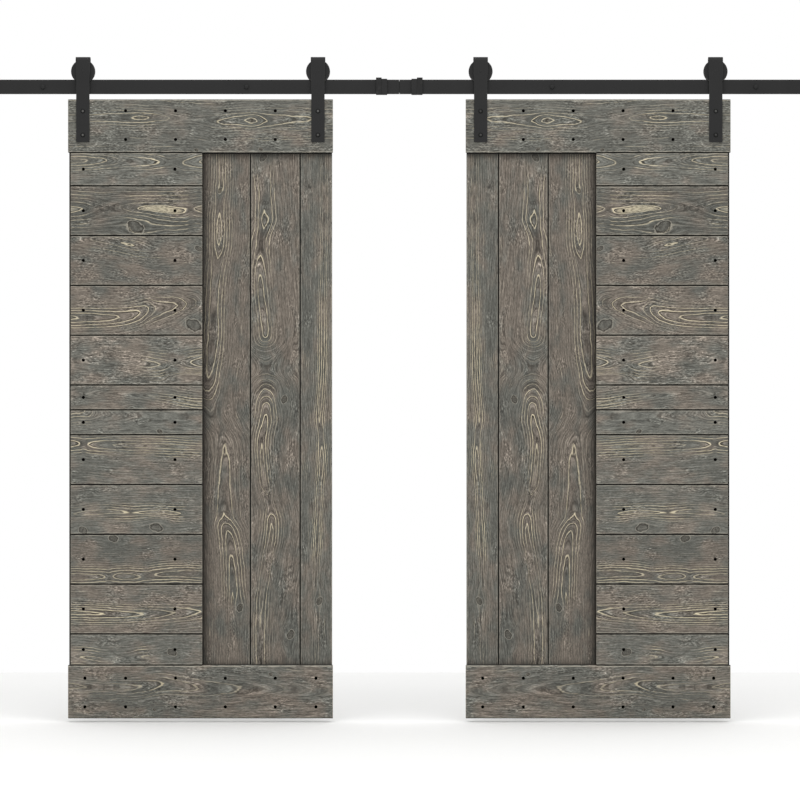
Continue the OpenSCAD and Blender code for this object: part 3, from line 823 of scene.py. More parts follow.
cross_h = door_z[1] - field_z[1]
for name, top, touching in (("top_board", door_z[1], (NOWHERE, beside_slats)),
                            ("bottom_board", field_z[0], (beside_slats, NOWHERE))):
    level_board(name, door_x, top, cross_h, RAILS[name], [name], touching)
for k, character in enumerate(SLATS):
    node = "upper_slats" if k < 6 else "lower_slats"
    level_board(f"slat_{k + 1}", slat_x, tops[k], heights[k], character, [node])
print("front boards on each door:", len(RAILS) + len(SLATS))

# %% [markdown]
# ## The boards of the back layer
# Six tongue-and-groove boards stand behind the rail boards, and three of them show. The board
# beside the slats gets painted shade that darkens towards them. Along runs from the top of the
# door down, and across from the board's middle towards +X.

# %% Back boards
BACKS = [
    dict(seed=31, tone=0.86, warm=0.46, spacing=6.0, mottled=0.15, streaky=0.6,
         pith=((0, 24, 0.4, 0.3), (700, 24, 0.5, 0.5), (900, 22, 0.8, 0.7), (1050, 14, 0.6, 0.6),
               (1100, 11, 1.0, 0.7), (1160, 16, 1.3, 0.4), (1200, 17, 1.0, 0.7),
               (1230, 18, 0.6, 0.7), (1400, 10, 0.5, 0.5), (1500, 6, 0.4, 0.7),
               (1650, 0, 0.8, 0.3), (2134, 0, 0.8, 0.3)),
         knots=((1735, 11, 12),)),
    dict(seed=32, tone=0.86, warm=0.54, spacing=8.5, mottled=0.45, streaky=0.5,
         pith=((0, -42, 3.0, 0.1), (200, -42, 3.3, 0.4), (391, -35, 3.0, 0.9),
               (415, -35, 2.7, 0.9), (440, -38, 3.0, 0.9), (490, -50, 3.3, 0.9),
               (533, -51, 3.0, 0.9), (607, -50, 2.0, 0.7), (700, -45, 1.5, 0.6),
               (810, -34, 1.7, 0.7), (930, -33, 9.3, 0.3), (967, -32, 7.0, 0.8),
               (1025, -32, 4.0, 0.9), (1093, -32, 2.0, 0.9), (1198, -48, 1.0, 0.8),
               (1300, -40, 0.6, 0.6), (1400, -20, 2.4, 0.4), (1431, -14, 2.0, 0.9),
               (1462, -13, 1.0, 0.9), (1600, -30, 0.6, 0.4), (1800, -50, 1.0, 0.6),
               (2134, -45, 1.5, 0.4)),
         knots=((200, -42, 14), (1038, 30, 12), (1851, 53, 14)),
         swells=((870, 60, 90, 13, 1.8), (1850, 29, 52, 12, 1.6))),
    dict(seed=33, tone=0.84, warm=0.58, spacing=8.5, mottled=0.3, streaky=0.6,
         pith=((0, -16, 0.3, 0.6), (175, -16, 0.4, 0.7), (320, -17, 1.0, 0.7),
               (350, -18, 1.3, 0.6), (403, -20, 1.0, 0.9), (450, -20, 0.5, 0.9),
               (502, -22, 1.0, 0.9), (548, -27, 2.0, 0.7), (650, -38, 2.5, 0.8),
               (850, -46, 2.4, 0.9), (960, -57, 3.0, 0.9), (1010, -61, 4.0, 0.8),
               (1130, -30, 6.4, 0.3), (1198, -4, 6.0, 0.7), (1437, -2, 5.0, 0.8),
               (1465, 2, 4.0, 0.9), (1493, 10, 3.0, 0.9), (1570, 21, 2.0, 0.9),
               (1709, 28, 1.0, 0.8), (1800, 28, 0.7, 0.3), (2134, 30, 0.8, 0.3)),
         # The band across this board is painted shade beside the slats, which stand in front of it.
         knots=((314, -19, 9), (1757, 50, 13)), grime=((-80.5, -72, 1.0), (-80.5, -36, 0.92))),
    dict(seed=34, tone=0.95, warm=0.5, spacing=9.0, mottled=0.5, streaky=0.5,
         pith=((0, 10, 3.0, 0.3), (700, 4, 1.0, 0.5), (1500, -10, 2.0, 0.4), (2134, -10, 5.0, 0.3)),
         knots=((900, 20, 9),)),
    dict(seed=35, tone=0.96, warm=0.45, spacing=8.0, mottled=0.5, streaky=0.5,
         pith=((0, -40, 1.0, 0.3), (900, -20, 4.0, 0.5), (2134, 10, 2.0, 0.4)),
         knots=((1500, -30, 8),)),
    dict(seed=36, tone=0.95, warm=0.5, spacing=7.0, mottled=0.4, streaky=0.5,
         pith=((0, 30, 2.0, 0.3), (1200, 20, 1.0, 0.3), (2134, 30, 3.0, 0.4)),
         # A band of painted shade that fades across this board.
         grime=((-56, 20, 0.9),)),
]
print("back boards:", len(BACKS), "with pith rows:", [len(board["pith"]) for board in BACKS])

# %% [markdown]
# ## Tongue and groove
# The outline has a small bevel at each face edge, so that two boards show a V at the seam, and
# the tongue hides in the groove with a little slack. The bevels are part of the outline, so the
# plank function carries them down the door.

# %% Tongue and groove
VEE = 1.5 * MM
JOINT = 0.3 * MM
TONGUE, REACH = 6 * MM, 6 * MM
LIP = (board_t - TONGUE) / 2
SLACK = 0.2 * MM


def tongue_section(width, groove, tongue):
    """From the face round the grooved edge, the back and the tongue, in (across, depth)."""
    left, right = width / 2, -width / 2
    grooved = [[left - VEE, 0], [left, -VEE], [left, -LIP], [left - REACH, -LIP],
               [left - REACH, -LIP - TONGUE], [left, -LIP - TONGUE], [left, -board_t]]
    edge, tip = right + JOINT, right - REACH + 2 * JOINT
    above, below = -LIP - SLACK, -LIP - TONGUE + SLACK
    tongued = [[edge, -board_t], [edge, below], [tip, below], [tip, above], [edge, above],
               [edge, -VEE], [edge + VEE, 0]]
    plain_left = [[left, 0], [left, -board_t]]
    plain_right = [[right, -board_t], [right, 0]]
    corners = (grooved if groove else plain_left) + (tongued if tongue else plain_right)
    return np.roll(corners, 1, 0)


print("the tongue is", round(TONGUE / MM, 1), "mm thick,", round(LIP / MM, 2), "mm behind the face")

# %% [markdown]
# ## Laying the back boards
# The first board has no groove and the last one no tongue. Each V gets painted shade inside, and
# painted shade lies in a narrow strip under the top rail board and above the bottom one. Both
# kinds of band are added to the board's own.

# %% Laying the back boards
for number, character in enumerate(BACKS, 1):
    low, high = BOX[f"left_back_board_{number}"][:, X]
    tongue_out = REACH - 2 * JOINT if number < 6 else 0
    face_w = high - low - tongue_out
    section = tongue_section(face_w, number > 1, number < 6)
    sides = (ALL_ALONG if number > 1 else NOWHERE, ALL_ALONG if number < 6 else NOWHERE)
    outline, along, masks = plank(section, door_z[1] - door_z[0], 1.2 * MM, 40 + number,
                                  touching=sides, back_ease=1.4 * MM)
    start = (low + tongue_out + face_w / 2, layer_y, door_z[1])
    shell = laid(outline, along, masks, start, (0, 0, -1), (1, 0, 0))
    name = f"back_board_{number}"
    edge, under, over = face_w / 2 / MM, cross_h / MM, (door_z[1] - field_z[0]) / MM
    # Bands of painted shade: in each V, under the top rail board and above the bottom rail board.
    vees = (edge, edge - 5.5, 1.4), (-edge, 5.5 - edge, 1.4)
    in_vees = [band for band, side in zip(vees, sides) if side is ALL_ALONG]
    dirty = {"grime": (*character.get("grime", ()), *in_vees),
             "shade": ((under, under + 8, 2.6), (under, under + 38, 0.72),
                       (over, over - 7, 1.1), (over, over - 30, 0.35))}
    finish = pine(f"pine_{name}", **{**character, **dirty})
    on_both_doors(name, shell, finish, "door", "wood_boards", [name])
print("back boards laid")

# %% [markdown]
# ## Metal and rubber finishes
# The rail, straps and bolts are powder coated: a baked skin with a faint orange peel, a little
# dust and a paler edge where it is rubbed; on the domed strap bolts that paler mark is a
# painted highlight. Nuts and axle bolts are dark zinc, bearings are ground steel, and the
# bumpers are moulded rubber with a bloom on it. Each is one even colour with small changes in
# brightness, roughness and height.


# %% Hardware finishes
def coated(name, colour, rubbed, roughness=0.5, gloss=0.3, bare=0.35):
    """Powder coat: brightness drifts, the peel is fine noise, and eased edges are paler from wear;
    on the strap bolts the same paler mark is a painted highlight on the dome.
    """
    f = Finish(name)
    spot = f.spot()
    cloud = f.noise(spot, scale=14, detail=3.0)
    dust = f.noise(spot, scale=160, detail=2.0)
    coat = f.shaded(colour, 0.7 + 0.45 * cloud + 0.25 * dust)
    # Paler edges for wear; on the strap bolts this paints a highlight on the dome.
    coat = f.mix(f.stored("worn") * cloud.step(0.35, 0.62) * bare, coat, rubbed)
    peel_height = f.noise(spot, scale=900, detail=1.0)
    return f.surface({"Base Color": coat, "Roughness": roughness + 0.16 * dust,
                      "Specular IOR Level": gloss,
                      "Normal": f.bumped(peel_height, 0.35, 0.00015)})


def plated(name, colour, roughness):
    """Bare or plated metal: fine turning marks and small stains."""
    f = Finish(name)
    spot = f.spot()
    stains = f.noise(spot, scale=90, detail=4.0)
    marks = f.noise(spot, scale=2200, detail=1.0)
    metal = f.shaded(colour, 0.75 + 0.5 * stains)
    return f.surface({"Base Color": metal, "Metallic": 1.0,
                      "Roughness": roughness + 0.2 * stains,
                      "Normal": f.bumped(marks, 0.2, 0.00005)})


def moulded_rubber(name):
    """Black rubber with a greyish bloom in patches and a dull moulded skin."""
    f = Finish(name)
    spot = f.spot()
    bloom = f.noise(spot, scale=60, detail=4.0)
    skin = f.mix(bloom.step(0.45, 0.75) * 0.35, tint(30, 30, 30), tint(62, 61, 60))
    grain = f.noise(spot, scale=1500, detail=2.0)
    return f.surface({"Base Color": skin, "Roughness": 0.74 + 0.15 * bloom,
                      "Specular IOR Level": 0.3, "Normal": f.bumped(grain, 0.4, 0.0001)})


BLACK = coated("powder_coat", tint(23, 23, 23), tint(66, 65, 63))
WHEEL_BLACK = coated("wheel_coat", tint(20, 20, 20), tint(80, 79, 76), roughness=0.42)
# The strap bolts' pale second colour, with a larger share, paints a highlight on each dome.
BOLT_BLACK = coated("bolt_coat", tint(14, 14, 14), tint(112, 111, 108), gloss=0.2, bare=0.6)
# The screws' near-black coat, darker than a black screw, also stands for the shade in the
# countersunk hole round each head.
SCREW_BLACK = coated("screw_coat", tint(2, 2, 2), tint(12, 12, 12), roughness=0.7, gloss=0.0)
ZINC = plated("dark_zinc", tint(110, 110, 112), 0.32)
STEEL = plated("ground_steel", tint(190, 191, 194), 0.22)
RUBBER = moulded_rubber("rubber")
METALS = (BLACK, WHEEL_BLACK, BOLT_BLACK, SCREW_BLACK, ZINC, STEEL)
print("hardware finishes:", [material.name for material in (*METALS, RUBBER)])

# %% [markdown]
# ## The rail
# Two flat bars end to end. A hot-rolled bar has a slightly eased edge all along, which catches
# the light as a thin line, so each bar is an eased rectangle carried along X.


# %% Rail bars
ROLLED = 0.7 * MM
for name, node in (("rail_bar_left", "rail_left"), ("rail_bar_right", "rail_right"),
                   ("joiner_plate", "rail_joiner")):
    low, high = BOX[node]
    length, thick, height = high - low
    outline, along, masks = plank(plain_section(height, thick), length, ROLLED, 60, wear=0.0,
                                  front_corners=(0, 1, 2, 3), end=0.4 * MM)
    start = (low[X], low[Y], (low[Z] + high[Z]) / 2)
    shell = laid(outline, along, masks, start, (1, 0, 0), (0, 0, 1))
    piece(name, shell, BLACK, "rail", "powder_coated_steel", [node])
print("rail set, one bar in mm:", np.round(np.ptp(BOX["rail_left"], axis=0) / MM, 1))

# %% [markdown]
# ## Turned pieces
# Wheels, washers, spacers and domed bolt heads are made on a lathe or pressed round. Their
# shape is a profile of (radius, height) turned about an axle along Y, with height towards the
# room. A hexagon is the same thing with a radius that depends on the angle.


# %% Turning
TIP = 0.2 * MM


def turned(profile, centre, sides=48, loop=False, wear=0.0):
    """Turns a profile of (radius, height) rows, or of (radius at each angle, height) rows, about
    the line along Y through centre. A solid starts and ends in a small flat disc, TIP wide."""
    angle = np.arange(sides) * 2 * math.pi / sides
    radius = np.array([np.broadcast_to(row[0], (sides,)) for row in profile])
    height = np.array([np.broadcast_to(row[1], (sides,)) for row in profile])
    rings = np.stack([radius * np.cos(angle), -height, radius * np.sin(angle)], -1)
    return moved(carried(rings, loop=loop, worn=np.asarray(wear, float)[..., None]), centre)


def hexagon(across_flats, sides):
    """Radius of a hexagon at each angle: half its width over the cosine from the nearest flat."""
    angle = np.arange(sides) * 2 * math.pi / sides
    return across_flats / 2 / np.cos((angle + math.pi / 6) % (math.pi / 3) - math.pi / 6)


def hex_profile(across_flats, height, base, sides=48):
    """A chamfered hexagon head from its base up: the hexagon is cut by a 30 degree cone."""
    flat = hexagon(across_flats, sides)
    tip = across_flats / 2 * 0.94
    drops = np.array([0, 0.25, 0.5, 0.85, 1.3]) * MM
    rows = [(TIP, base), (flat * 0.97, base), (flat, base + 0.3 * MM)]
    rows += [(np.minimum(flat, tip + drop / math.tan(math.radians(30))), base + height - drop)
             for drop in drops[::-1]]
    return rows + [(TIP, base + height)]


def dome_profile(radius, height, shank, reach):
    """A domed head on a shank, and how pale each row is made: the dome is a cap of a sphere above
    height 0, and the rows at its top are made paler as a painted highlight."""
    ball = (radius ** 2 + height ** 2) / (2 * height)
    rise = np.linspace(0.12, 1, 8) * math.asin(radius / ball)
    rows = [(TIP, height)]
    rows += [(ball * math.sin(a), height - ball * (1 - math.cos(a))) for a in rise]
    rows += [(radius * 0.985, 0.0), (shank, 0.0), (shank, -reach), (TIP, -reach)]
    return rows, [1, 1, 1, 0.6] + [0] * (len(rows) - 4)


print("13 mm across flats is", round(2 * hexagon(13, 48).max(), 1), "mm across corners")

# %% [markdown]
# ## Wheels
# Each wheel is turned steel with a groove that straddles the rail. Its outline is a closed
# profile, eased at every corner and turned about the axle, so the shell is a ring.

# %% Wheels
TREAD_CLEAR = 0.25 * MM
for hand in ("inner", "outer"):
    low, high = BOX[f"left_{hand}_wheel"]
    centre, radius, half = (low + high) / 2, (high[2] - low[2]) / 2, (high[1] - low[1]) / 2
    tread = centre[2] - BOX["rail_left"][HIGH, Z] - TREAD_CLEAR
    groove = (BOX["rail_left"][HIGH, Y] - BOX["rail_left"][LOW, Y]) / 2 + 0.75 * MM
    bore_front, bore_back, shoulder = 13.0 * MM, 11.0 * MM, 4.0 * MM
    mouth, flare = radius - 2 * MM, groove + 1.2 * MM
    section = np.array([
        [bore_back, -half], [radius, -half], [radius, -flare], [mouth, -groove],
        [tread, -groove], [tread, groove], [mouth, groove], [radius, flare],
        [radius, half], [bore_front, half], [bore_front, -shoulder], [bore_back, -shoulder]])
    ease = np.array([0.4, 2.4, 0.8, 0.8, 0.5, 0.5, 0.8, 0.8, 2.4, 0.6, 0.2, 0.2]) * MM
    outline, mask = eased(section, ease[None])
    shell = turned(outline[0], centre, sides=96, loop=True, wear=mask[0])
    on_both_doors(f"{hand}_wheel_turned", shell, WHEEL_BLACK, f"{hand}_wheel", "wheel_steel",
                  [f"{hand}_wheel"])
print("wheel radius, mm:", round(radius / MM, 2), "tread", round(tread / MM, 2))

# %% [markdown]
# ## Bent straps
# A strap is one flat bar, bent twice over the wheel. Its path runs up the front, round a quarter
# circle, across, round another and down to the axle. The bar's section is an eased rectangle,
# and its width follows the path: full at the head, narrower on the door, with rounded lower
# corners in front and a half circle round the axle behind.


# %% Straps
BEND = 9.5 * MM
FOOT_ROUND = 3 * MM
LEG_IN = 2 * MM
NARROW_FROM, NARROW_TO = 8 * MM, 24 * MM


def strap_shell(node):
    """The outline stays square to the path. Its half width is the head's, the leg's, or the
    half chord of the circle that rounds an end, whichever is smallest. The strap narrows
    between NARROW_FROM and NARROW_TO below the axle."""
    low, high = BOX[node]
    thick = BOX["left_top_board"][LOW, Y] - low[1]
    head = (high[0] - low[0]) / 2
    leg = head - LEG_IN
    axle = BOX["left_inner_wheel"][:, Z].mean()
    centre_x = (low[0] + high[0]) / 2
    front, rear, top = low[1] + thick / 2, high[1] - thick / 2, high[2] - thick / 2
    foot = low[2]
    turn = np.linspace(0, math.pi / 2, 12)[:, None]
    sine, drop = BEND * np.sin(turn), BEND * (1 - np.cos(turn))
    foot_steps = foot + FOOT_ROUND * (1 - np.cos(np.linspace(0, math.pi / 2, 6)))
    climb = np.concatenate([foot_steps, np.linspace(foot + 2 * FOOT_ROUND, axle - NARROW_TO, 8),
                            np.linspace(axle - 22 * MM, axle - NARROW_FROM, 6),
                            [axle + 10 * MM, top - BEND]])
    up = np.stack([np.full(len(climb), front), climb], 1)
    first = np.concatenate([front + drop, top - BEND + sine], 1)
    second = np.concatenate([rear - BEND + sine, top - drop], 1)
    fall = axle - head * np.sin(np.linspace(0, math.pi / 2 * 0.97, 14))
    fall = np.concatenate([[axle + 20 * MM], fall])
    down = np.stack([np.full(len(fall), rear), fall], 1)
    path = np.concatenate([up, first[1:], second[1:], down])
    ahead = np.gradient(path, axis=0)
    ahead = ahead / np.linalg.norm(ahead, axis=1, keepdims=True)
    outward = np.stack([-ahead[:, 1], ahead[:, 0]], 1)
    in_front = np.arange(len(path)) < len(up)
    z = path[:, 1]
    narrowing = np.interp(z, [axle - NARROW_TO, axle - NARROW_FROM], [leg, head])
    half = np.where(in_front, narrowing, head)
    rise = (foot + FOOT_ROUND - z).clip(0, FOOT_ROUND)
    half = np.where(in_front, half - FOOT_ROUND + np.sqrt(FOOT_ROUND ** 2 - rise ** 2), half)
    chord = np.sqrt(np.maximum(0, head ** 2 - (axle - z).clip(0) ** 2))
    half = np.where(in_front, half, np.minimum(half, chord.clip(1.5 * MM)))
    corners = SQUARE * np.stack([half, np.full(len(half), thick / 2)], 1)[:, None]
    outline, mask = eased(corners, ROLLED)
    side, out = outline[..., :1], outline[..., 1:]
    middle_yz = path[:, None] + out * outward[:, None]
    rings = np.concatenate([centre_x + side, middle_yz], -1)
    return carried(rings, worn=mask)


for hand in ("inner", "outer"):
    shell = strap_shell(f"left_{hand}_strap")
    axle_x, axle_z = BOX[f"left_{hand}_wheel"][:, [X, Z]].mean(0)
    strap_face = BOX[f"left_{hand}_strap"][LOW, Y]
    flush_end = turned([(TIP, 0.25 * MM), (4.2 * MM, 0.25 * MM), (4.8 * MM, 0.1 * MM),
                        (5.0 * MM, -0.3 * MM), (5.0 * MM, -2 * MM), (TIP, -2 * MM)],
                       (axle_x, strap_face, axle_z), sides=40)
    on_both_doors(f"{hand}_strap_bent", shell, BLACK, "door", "powder_coated_steel",
                  [f"{hand}_strap"])
    on_both_doors(f"{hand}_axle_end", flush_end, BLACK, "door", "powder_coated_steel")
print("straps bent")

# %% [markdown]
# ## Strap bolts and nuts
# Two bolts hold each strap. They are domed in front, with a painted highlight on the top of
# each dome, and end in flange nuts behind. One profile of each is turned at every place.

# %% Strap bolts and nuts
bolt_rows = BOX["left_strap_bolts"]
dome_r, dome_t, shank_r = 8.0 * MM, 4.2 * MM, 4.0 * MM
strap_face = BOX["left_inner_strap"][LOW, Y]
bolt_places = [(BOX[f"left_{hand}_strap"][:, X].mean(), z)
               for hand in ("inner", "outer")
               for z in (bolt_rows[LOW, Z] + dome_r, bolt_rows[HIGH, Z] - dome_r)]
bolt_reach = bolt_rows[HIGH, Y] - strap_face
# The second list marks the top rows of each dome, which take a painted highlight.
dome, crown = dome_profile(dome_r, dome_t, shank_r, bolt_reach)
domes = joined([turned(dome, (x, strap_face, z), sides=40, wear=crown) for x, z in bolt_places])
on_both_doors("dome_bolts", domes, BOLT_BLACK, "door", "powder_coated_steel", ["strap_bolts"])

nut_t = BOX["left_strap_nuts"][HIGH, Y] - back_y
nut_hex = hexagon(13 * MM, 48)
nut = [(4.05 * MM, -nut_t + 0.1 * MM), (4.6 * MM, -nut_t), (6.1 * MM, -nut_t),
       (np.minimum(nut_hex, 6.9 * MM), -nut_t + 0.5 * MM), (nut_hex, -nut_t + 1.2 * MM),
       (nut_hex, -2.0 * MM), (7.6 * MM, -1.7 * MM), (8.3 * MM, -1.2 * MM), (8.5 * MM, -0.4 * MM),
       (8.5 * MM, 0.0), (4.05 * MM, 0.0)]
nuts = joined([turned(nut, (x, back_y, z), sides=48, loop=True) for x, z in bolt_places])
on_both_doors("flange_nuts", nuts, ZINC, "door", "dark_zinc", ["strap_nuts"])

print("bolts at", np.round(bolt_places, 3).tolist())

# %% [markdown]
# ## Axle bolts
# The axle bolt goes in from behind, so its hexagon head shows only there. The head's profile is
# turned round to face the wall, and the shank runs through the wheel to the strap's front.

# %% Axle bolts
axle_rows = BOX["left_axle_bolts"]
strap_back = BOX["left_inner_strap"][HIGH, Y]
axle_head = axle_rows[HIGH, Y] - strap_back
axle = hex_profile(16 * MM, axle_head, -axle_head)
axle_reach = strap_back - axle_rows[LOW, Y]
axle_shells = []
for hand in ("inner", "outer"):
    x, z = BOX[f"left_{hand}_wheel"][:, [X, Z]].mean(0)
    head = turned([(r, -h - axle_head) for r, h in axle], (x, strap_back, z))
    shank = turned([(TIP, 0), (5 * MM, 0), (5 * MM, axle_reach), (TIP, axle_reach)],
                   (x, strap_back, z))
    axle_shells += [head, shank]
on_both_doors("axle_bolts_turned", joined(axle_shells), ZINC, "door", "dark_zinc", ["axle_bolts"])

print("axle bolt length, mm:", round((axle_head + axle_reach) / MM, 1))

# %% [markdown]
# ## Lag bolts, washers and spacers
# Six lag bolts hold the rail to the wall through spacers. A coarse thread is a row of crests and
# roots on the shank, because it is hidden in the wall and needs no true helix.

# %% Lag bolts, washers and spacers
rail_face, rail_back = BOX["rail_left"][:, Y]
washer_t = BOX["lag_washers"][HIGH, Y] - BOX["lag_washers"][LOW, Y]
lag_head = BOX["lag_washers"][LOW, Y] - BOX["lag_bolts"][LOW, Y]
lag_end = BOX["lag_bolts"][HIGH, Y]
lag_x = np.array([528, 1232, 1740]) * MM
LAG_HOLE, WASHER_R, SPACER_R = 4.5 * MM, 8.5 * MM, 10 * MM
PITCH, THREADED = 3.2 * MM, 52 * MM


def ring_section(outer, length, ease):
    """The eased section of a plain ring round a lag bolt, in (radius, height)."""
    return eased([[LAG_HOLE, 0], [outer, 0], [outer, length], [LAG_HOLE, length]], ease)[0][0]


washer = ring_section(WASHER_R, washer_t, 0.3 * MM)
spacer = ring_section(SPACER_R, -rail_back, 0.6 * MM)
steps = np.arange(0, THREADED, PITCH / 2)
crests = np.where(np.arange(len(steps)) % 2 == 0, 4.0 * MM, 3.1 * MM)
lag_rows = [(TIP, -rail_face), (4.2 * MM, -rail_face), (4.2 * MM, 0)]
lag_rows += [(r, -s) for r, s in zip(crests, steps)] + [(0.3 * MM, -lag_end)]
lags, washers, spacers = [], [], []
for x in np.concatenate([-lag_x, lag_x]):
    lags.append(turned(hex_profile(13 * MM, lag_head, washer_t), (x, rail_face, 0)))
    lags.append(turned(lag_rows, (x, 0, 0), sides=32))
    washers.append(turned(washer, (x, rail_face, 0), sides=40, loop=True))
    spacers.append(turned(spacer, (x, 0, 0), sides=48, loop=True))
piece("lag_bolt_set", joined(lags), BLACK, "rail", "powder_coated_steel", ["lag_bolts"])
piece("lag_washer_set", joined(washers), BLACK, "rail", "powder_coated_steel", ["lag_washers"])
piece("spacer_set", joined(spacers), BLACK, "rail", "powder_coated_steel", ["wall_spacers"])
print("lag bolts:", len(spacers), "threads on each:", len(steps) // 2)

# %% [markdown]
# ## Wood screws
# Forty-four black screws hold each door together. The head is a low dome with a cross recess:
# its height falls inside two crossed bars, whose half width is measured from the nearer axis
# as r min(|cos a|, |sin a|). One head is made and copied to every place.

# %% Wood screws
# The head is drawn wide, so that its black rim also stands for the shade in the countersink round
# it.
HEAD_R, HEAD_EDGE, HEAD_DOME = 5.5 * MM, 0.2 * MM, 0.6 * MM
HEAD_STEPS = np.array([0.15, 0.9, 1.6, 2.3, 2.8, 3.3, 4.0, 4.8, 5.5]) * MM
CROSS_ARM, CROSS_HALF, CROSS_DEEP = 3.0 * MM, 0.7 * MM, 0.5 * MM
SIDES = 32


def screw_shell(turn):
    """Height is edge + dome (1 - (r / R)^2), less the recess where both the bar mask and the
    arm mask are 1. The recess stays above the board's face."""
    angle = np.arange(SIDES) * 2 * math.pi / SIDES
    rows = []
    for r in HEAD_STEPS:
        off_axis = r * np.minimum(abs(np.cos(angle + turn)), abs(np.sin(angle + turn)))
        bar_mask = ((CROSS_HALF + 0.25 * MM - off_axis) / (0.4 * MM)).clip(0, 1)
        arm_mask = ((CROSS_ARM + 0.2 * MM - r) / (0.4 * MM)).clip(0, 1)
        dome = HEAD_EDGE + HEAD_DOME * (1 - (r / HEAD_R) ** 2)
        rows.append((r, dome - CROSS_DEEP * bar_mask * arm_mask))
    rows += [(HEAD_R, -0.1 * MM), (2.1 * MM, -2.7 * MM), (2.1 * MM, -26 * MM), (TIP, -30 * MM)]
    return turned(rows, (0, 0, 0), sides=SIDES)


cross_columns = np.array([86, 258.5]) * MM
slat_columns = np.array([88, 404.5]) * MM
edge_column = 399 * MM
screw_rows = np.array([40, 139]) * MM
places = [(mid_x + s * c, door_z[1] - r)
          for c in cross_columns for s in (-1, 1) for r in screw_rows]
places += [(mid_x + s * c, door_z[0] + r)
           for c in [*cross_columns, edge_column] for s in (-1, 1) for r in screw_rows]
places += [(mid_x - c, top - h / 2) for c in slat_columns for top, h in zip(tops, heights)]
turns = np.random.default_rng(5).uniform(0, math.pi / 2, len(places))
screws = joined([moved(screw_shell(t), (x, front_y, z)) for (x, z), t in zip(places, turns)])
on_both_doors("screw_heads", screws, SCREW_BLACK, "door", "powder_coated_steel", ["wood_screws"])
print("screws on each door:", len(places))

# %% [markdown]
# ## Stops and bumpers
# A stop is a short steel sleeve round the rail, and its bumper is a rubber sleeve beside it.
# The surface runs round the rail in one direction and round the wall of the sleeve in the
# other: P = inner + w (outer - inner), where w and the place along the rail trace an eased
# rectangle.


# %% Sleeves
LOOSE = 0.15 * MM


def sleeve(node, corner, edge):
    """A sleeve that fills a CAD node's box, with outer corners and outer edges eased."""
    low, high = BOX[node]
    length = high[0] - low[0]
    hole_low = np.array([rail_face, BOX["rail_left"][LOW, Z]]) - LOOSE
    hole_high = np.array([rail_back, BOX["rail_left"][HIGH, Z]]) + LOOSE
    square = np.array([[0, 0], [1, 0], [1, 1], [0, 1]])
    outer = eased(low[1:] + square * (high[1:] - low[1:]), corner)[0][0]
    inner = eased(hole_low + square * (hole_high - hole_low), AS_SAWN)[0][0]
    wall = np.linalg.norm(outer - inner, axis=1)[:, None]
    quarter = np.linspace(0, math.pi / 2, 5)
    inward, forward = edge * (1 - np.sin(quarter)), edge * (1 - np.cos(quarter))
    w_out = 1 - np.concatenate([inward, inward[::-1]])[None] / wall
    w = np.concatenate([w_out, np.zeros((len(wall), 2))], 1)
    x = low[0] + np.concatenate([forward, length - forward[::-1], [length, 0]])
    worn = np.broadcast_to([1, 1, 1, 1, 0, 0, 1, 1, 1, 1, 0, 0], w.shape)
    yz = inner[:, None] + w[..., None] * (outer - inner)[:, None]
    rings = np.concatenate([np.broadcast_to(x[:, None], (*w.shape, 1)), yz], -1)
    return carried(rings, loop=True, worn=worn)


for where in ("centre", "end"):
    for side in ("left", "right"):
        stop, bumper = f"{where}_stop_{side}", f"{where}_bumper_{side}"
        piece(f"{stop}_sleeve", sleeve(stop, 1.2 * MM, 0.8 * MM), BLACK, "rail",
              "powder_coated_steel", [stop])
        piece(f"{bumper}_rubber", sleeve(bumper, 2.6 * MM, 1.6 * MM), RUBBER, "rail",
              "black_rubber", [bumper])
print("stops and bumpers on the rail")

# %% [markdown]
# ## What keeps its CAD shape
# Bearings, bushes, set screws and the joiner's screws are right as they are, so they only take
# a finish. A CAD node's own mesh is never touched.

# %% Finishes on CAD nodes
KEPT = {"bearing": STEEL, "bearing_cones": STEEL, "axle_bushes": ZINC, "screws": ZINC}
for name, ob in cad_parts.items():
    if ob.hide_render:
        continue
    finish = next((m for end, m in KEPT.items() if name.endswith(end)), BLACK)
    for slot in ob.material_slots:
        slot.material = finish
    print("kept", name, "with", finish.name)

# %% [markdown]
# ## Floor
# The floor lies a little below the doors and is nearly white. It belongs to the stage and not
# to the object.

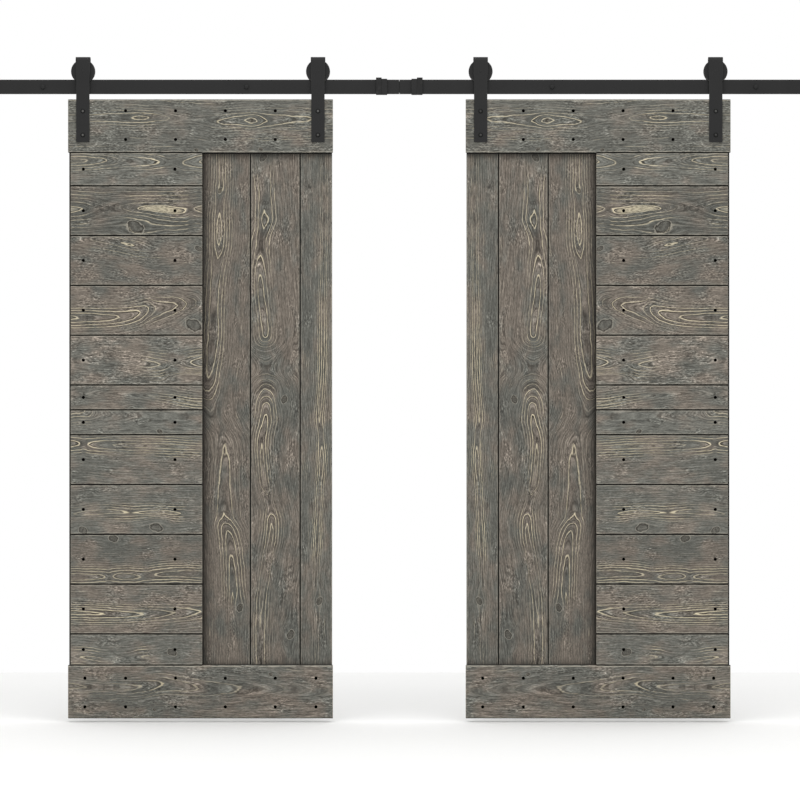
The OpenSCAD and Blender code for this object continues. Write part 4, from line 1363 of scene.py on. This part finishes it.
# %% Floor
floor_z = door_z[0] - 13 * MM
low, high = np.array([-6.0, -5.0]), np.array([6.0, 2.5])
floor_mesh = bpy.data.meshes.new("floor")
floor_mesh.from_pydata([(low[0], low[1], floor_z), (high[0], low[1], floor_z),
                        (high[0], high[1], floor_z), (low[0], high[1], floor_z)],
                       [], [(0, 1, 2, 3)])
floor = bpy.data.objects.new("floor", floor_mesh)
bpy.context.scene.collection.objects.link(floor)
ground = Finish("floor_paint")
speck = ground.noise(ground.spot(), scale=40, detail=2.0)
floor_mesh.materials.append(ground.surface({
    "Base Color": ground.shaded(tint(246, 246, 245), 0.985 + 0.03 * speck), "Roughness": 0.8,
    "Specular IOR Level": 0.1}))
floor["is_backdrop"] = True
print("floor at", round(floor_z, 3), "m")

# %% [markdown]
# ## Light
# A white room lights the doors from all round, and one wide lamp above and in front shades the
# seams and steps while the metal stays matt.

# %% Light
scene = bpy.context.scene
world = bpy.data.worlds.new("white_room")
world.use_nodes = True
world.node_tree.nodes["Background"].inputs["Color"].default_value = (1.0, 1.0, 1.0, 1.0)
world.node_tree.nodes["Background"].inputs["Strength"].default_value = 1.0
scene.world = world


def soft_light(name, place, target, width, height, watts):
    """A rectangular lamp at place that faces target."""
    data = bpy.data.lights.new(name, "AREA")
    data.shape = "RECTANGLE"
    data.size, data.size_y, data.energy = width, height, watts
    lamp = bpy.data.objects.new(name, data)
    lamp.location = place
    way = np.array(target, float) - np.array(place, float)
    yaw = math.atan2(way[0], -way[1])
    pitch = math.atan2(-way[2], math.hypot(way[0], way[1]))
    lamp.rotation_euler = (math.pi / 2 - pitch, 0, yaw + math.pi)
    scene.collection.objects.link(lamp)


middle = np.array([0.0, front_y, door_z.mean()])
soft_light("overhead", (0.0, -2.6, 2.6), middle, 4.0, 1.6, 60)
scene.view_settings.view_transform = "Standard"
print("lamp aimed at", middle.tolist())

# %% [markdown]
# ## Camera
# A long lens far away keeps the view square on, with hardly any perspective. Its length follows
# from the width that it has to see: lens = sensor width * distance / view width.

# %% Camera
camera_data = bpy.data.cameras.new("camera")
camera = bpy.data.objects.new("camera", camera_data)
VIEW_WIDTH = 2.7636
DISTANCE = 14.0
camera_data.sensor_width = 36.0
camera_data.lens = 36.0 * DISTANCE / VIEW_WIDTH
camera_data.clip_end = 100.0
camera.location = (2.4 * MM, front_y - DISTANCE, -1.0825)
camera.rotation_euler = (math.pi / 2, 0, 0)
scene.collection.objects.link(camera)
scene.camera = camera
print("lens", round(camera_data.lens, 1), "mm")

# %% [markdown]
# ## Sizes
# Blender must not change the size of the object, so the box of the dressed object is measured as
# well as the CAD box.

# %% Measure the sizes
visual_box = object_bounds()
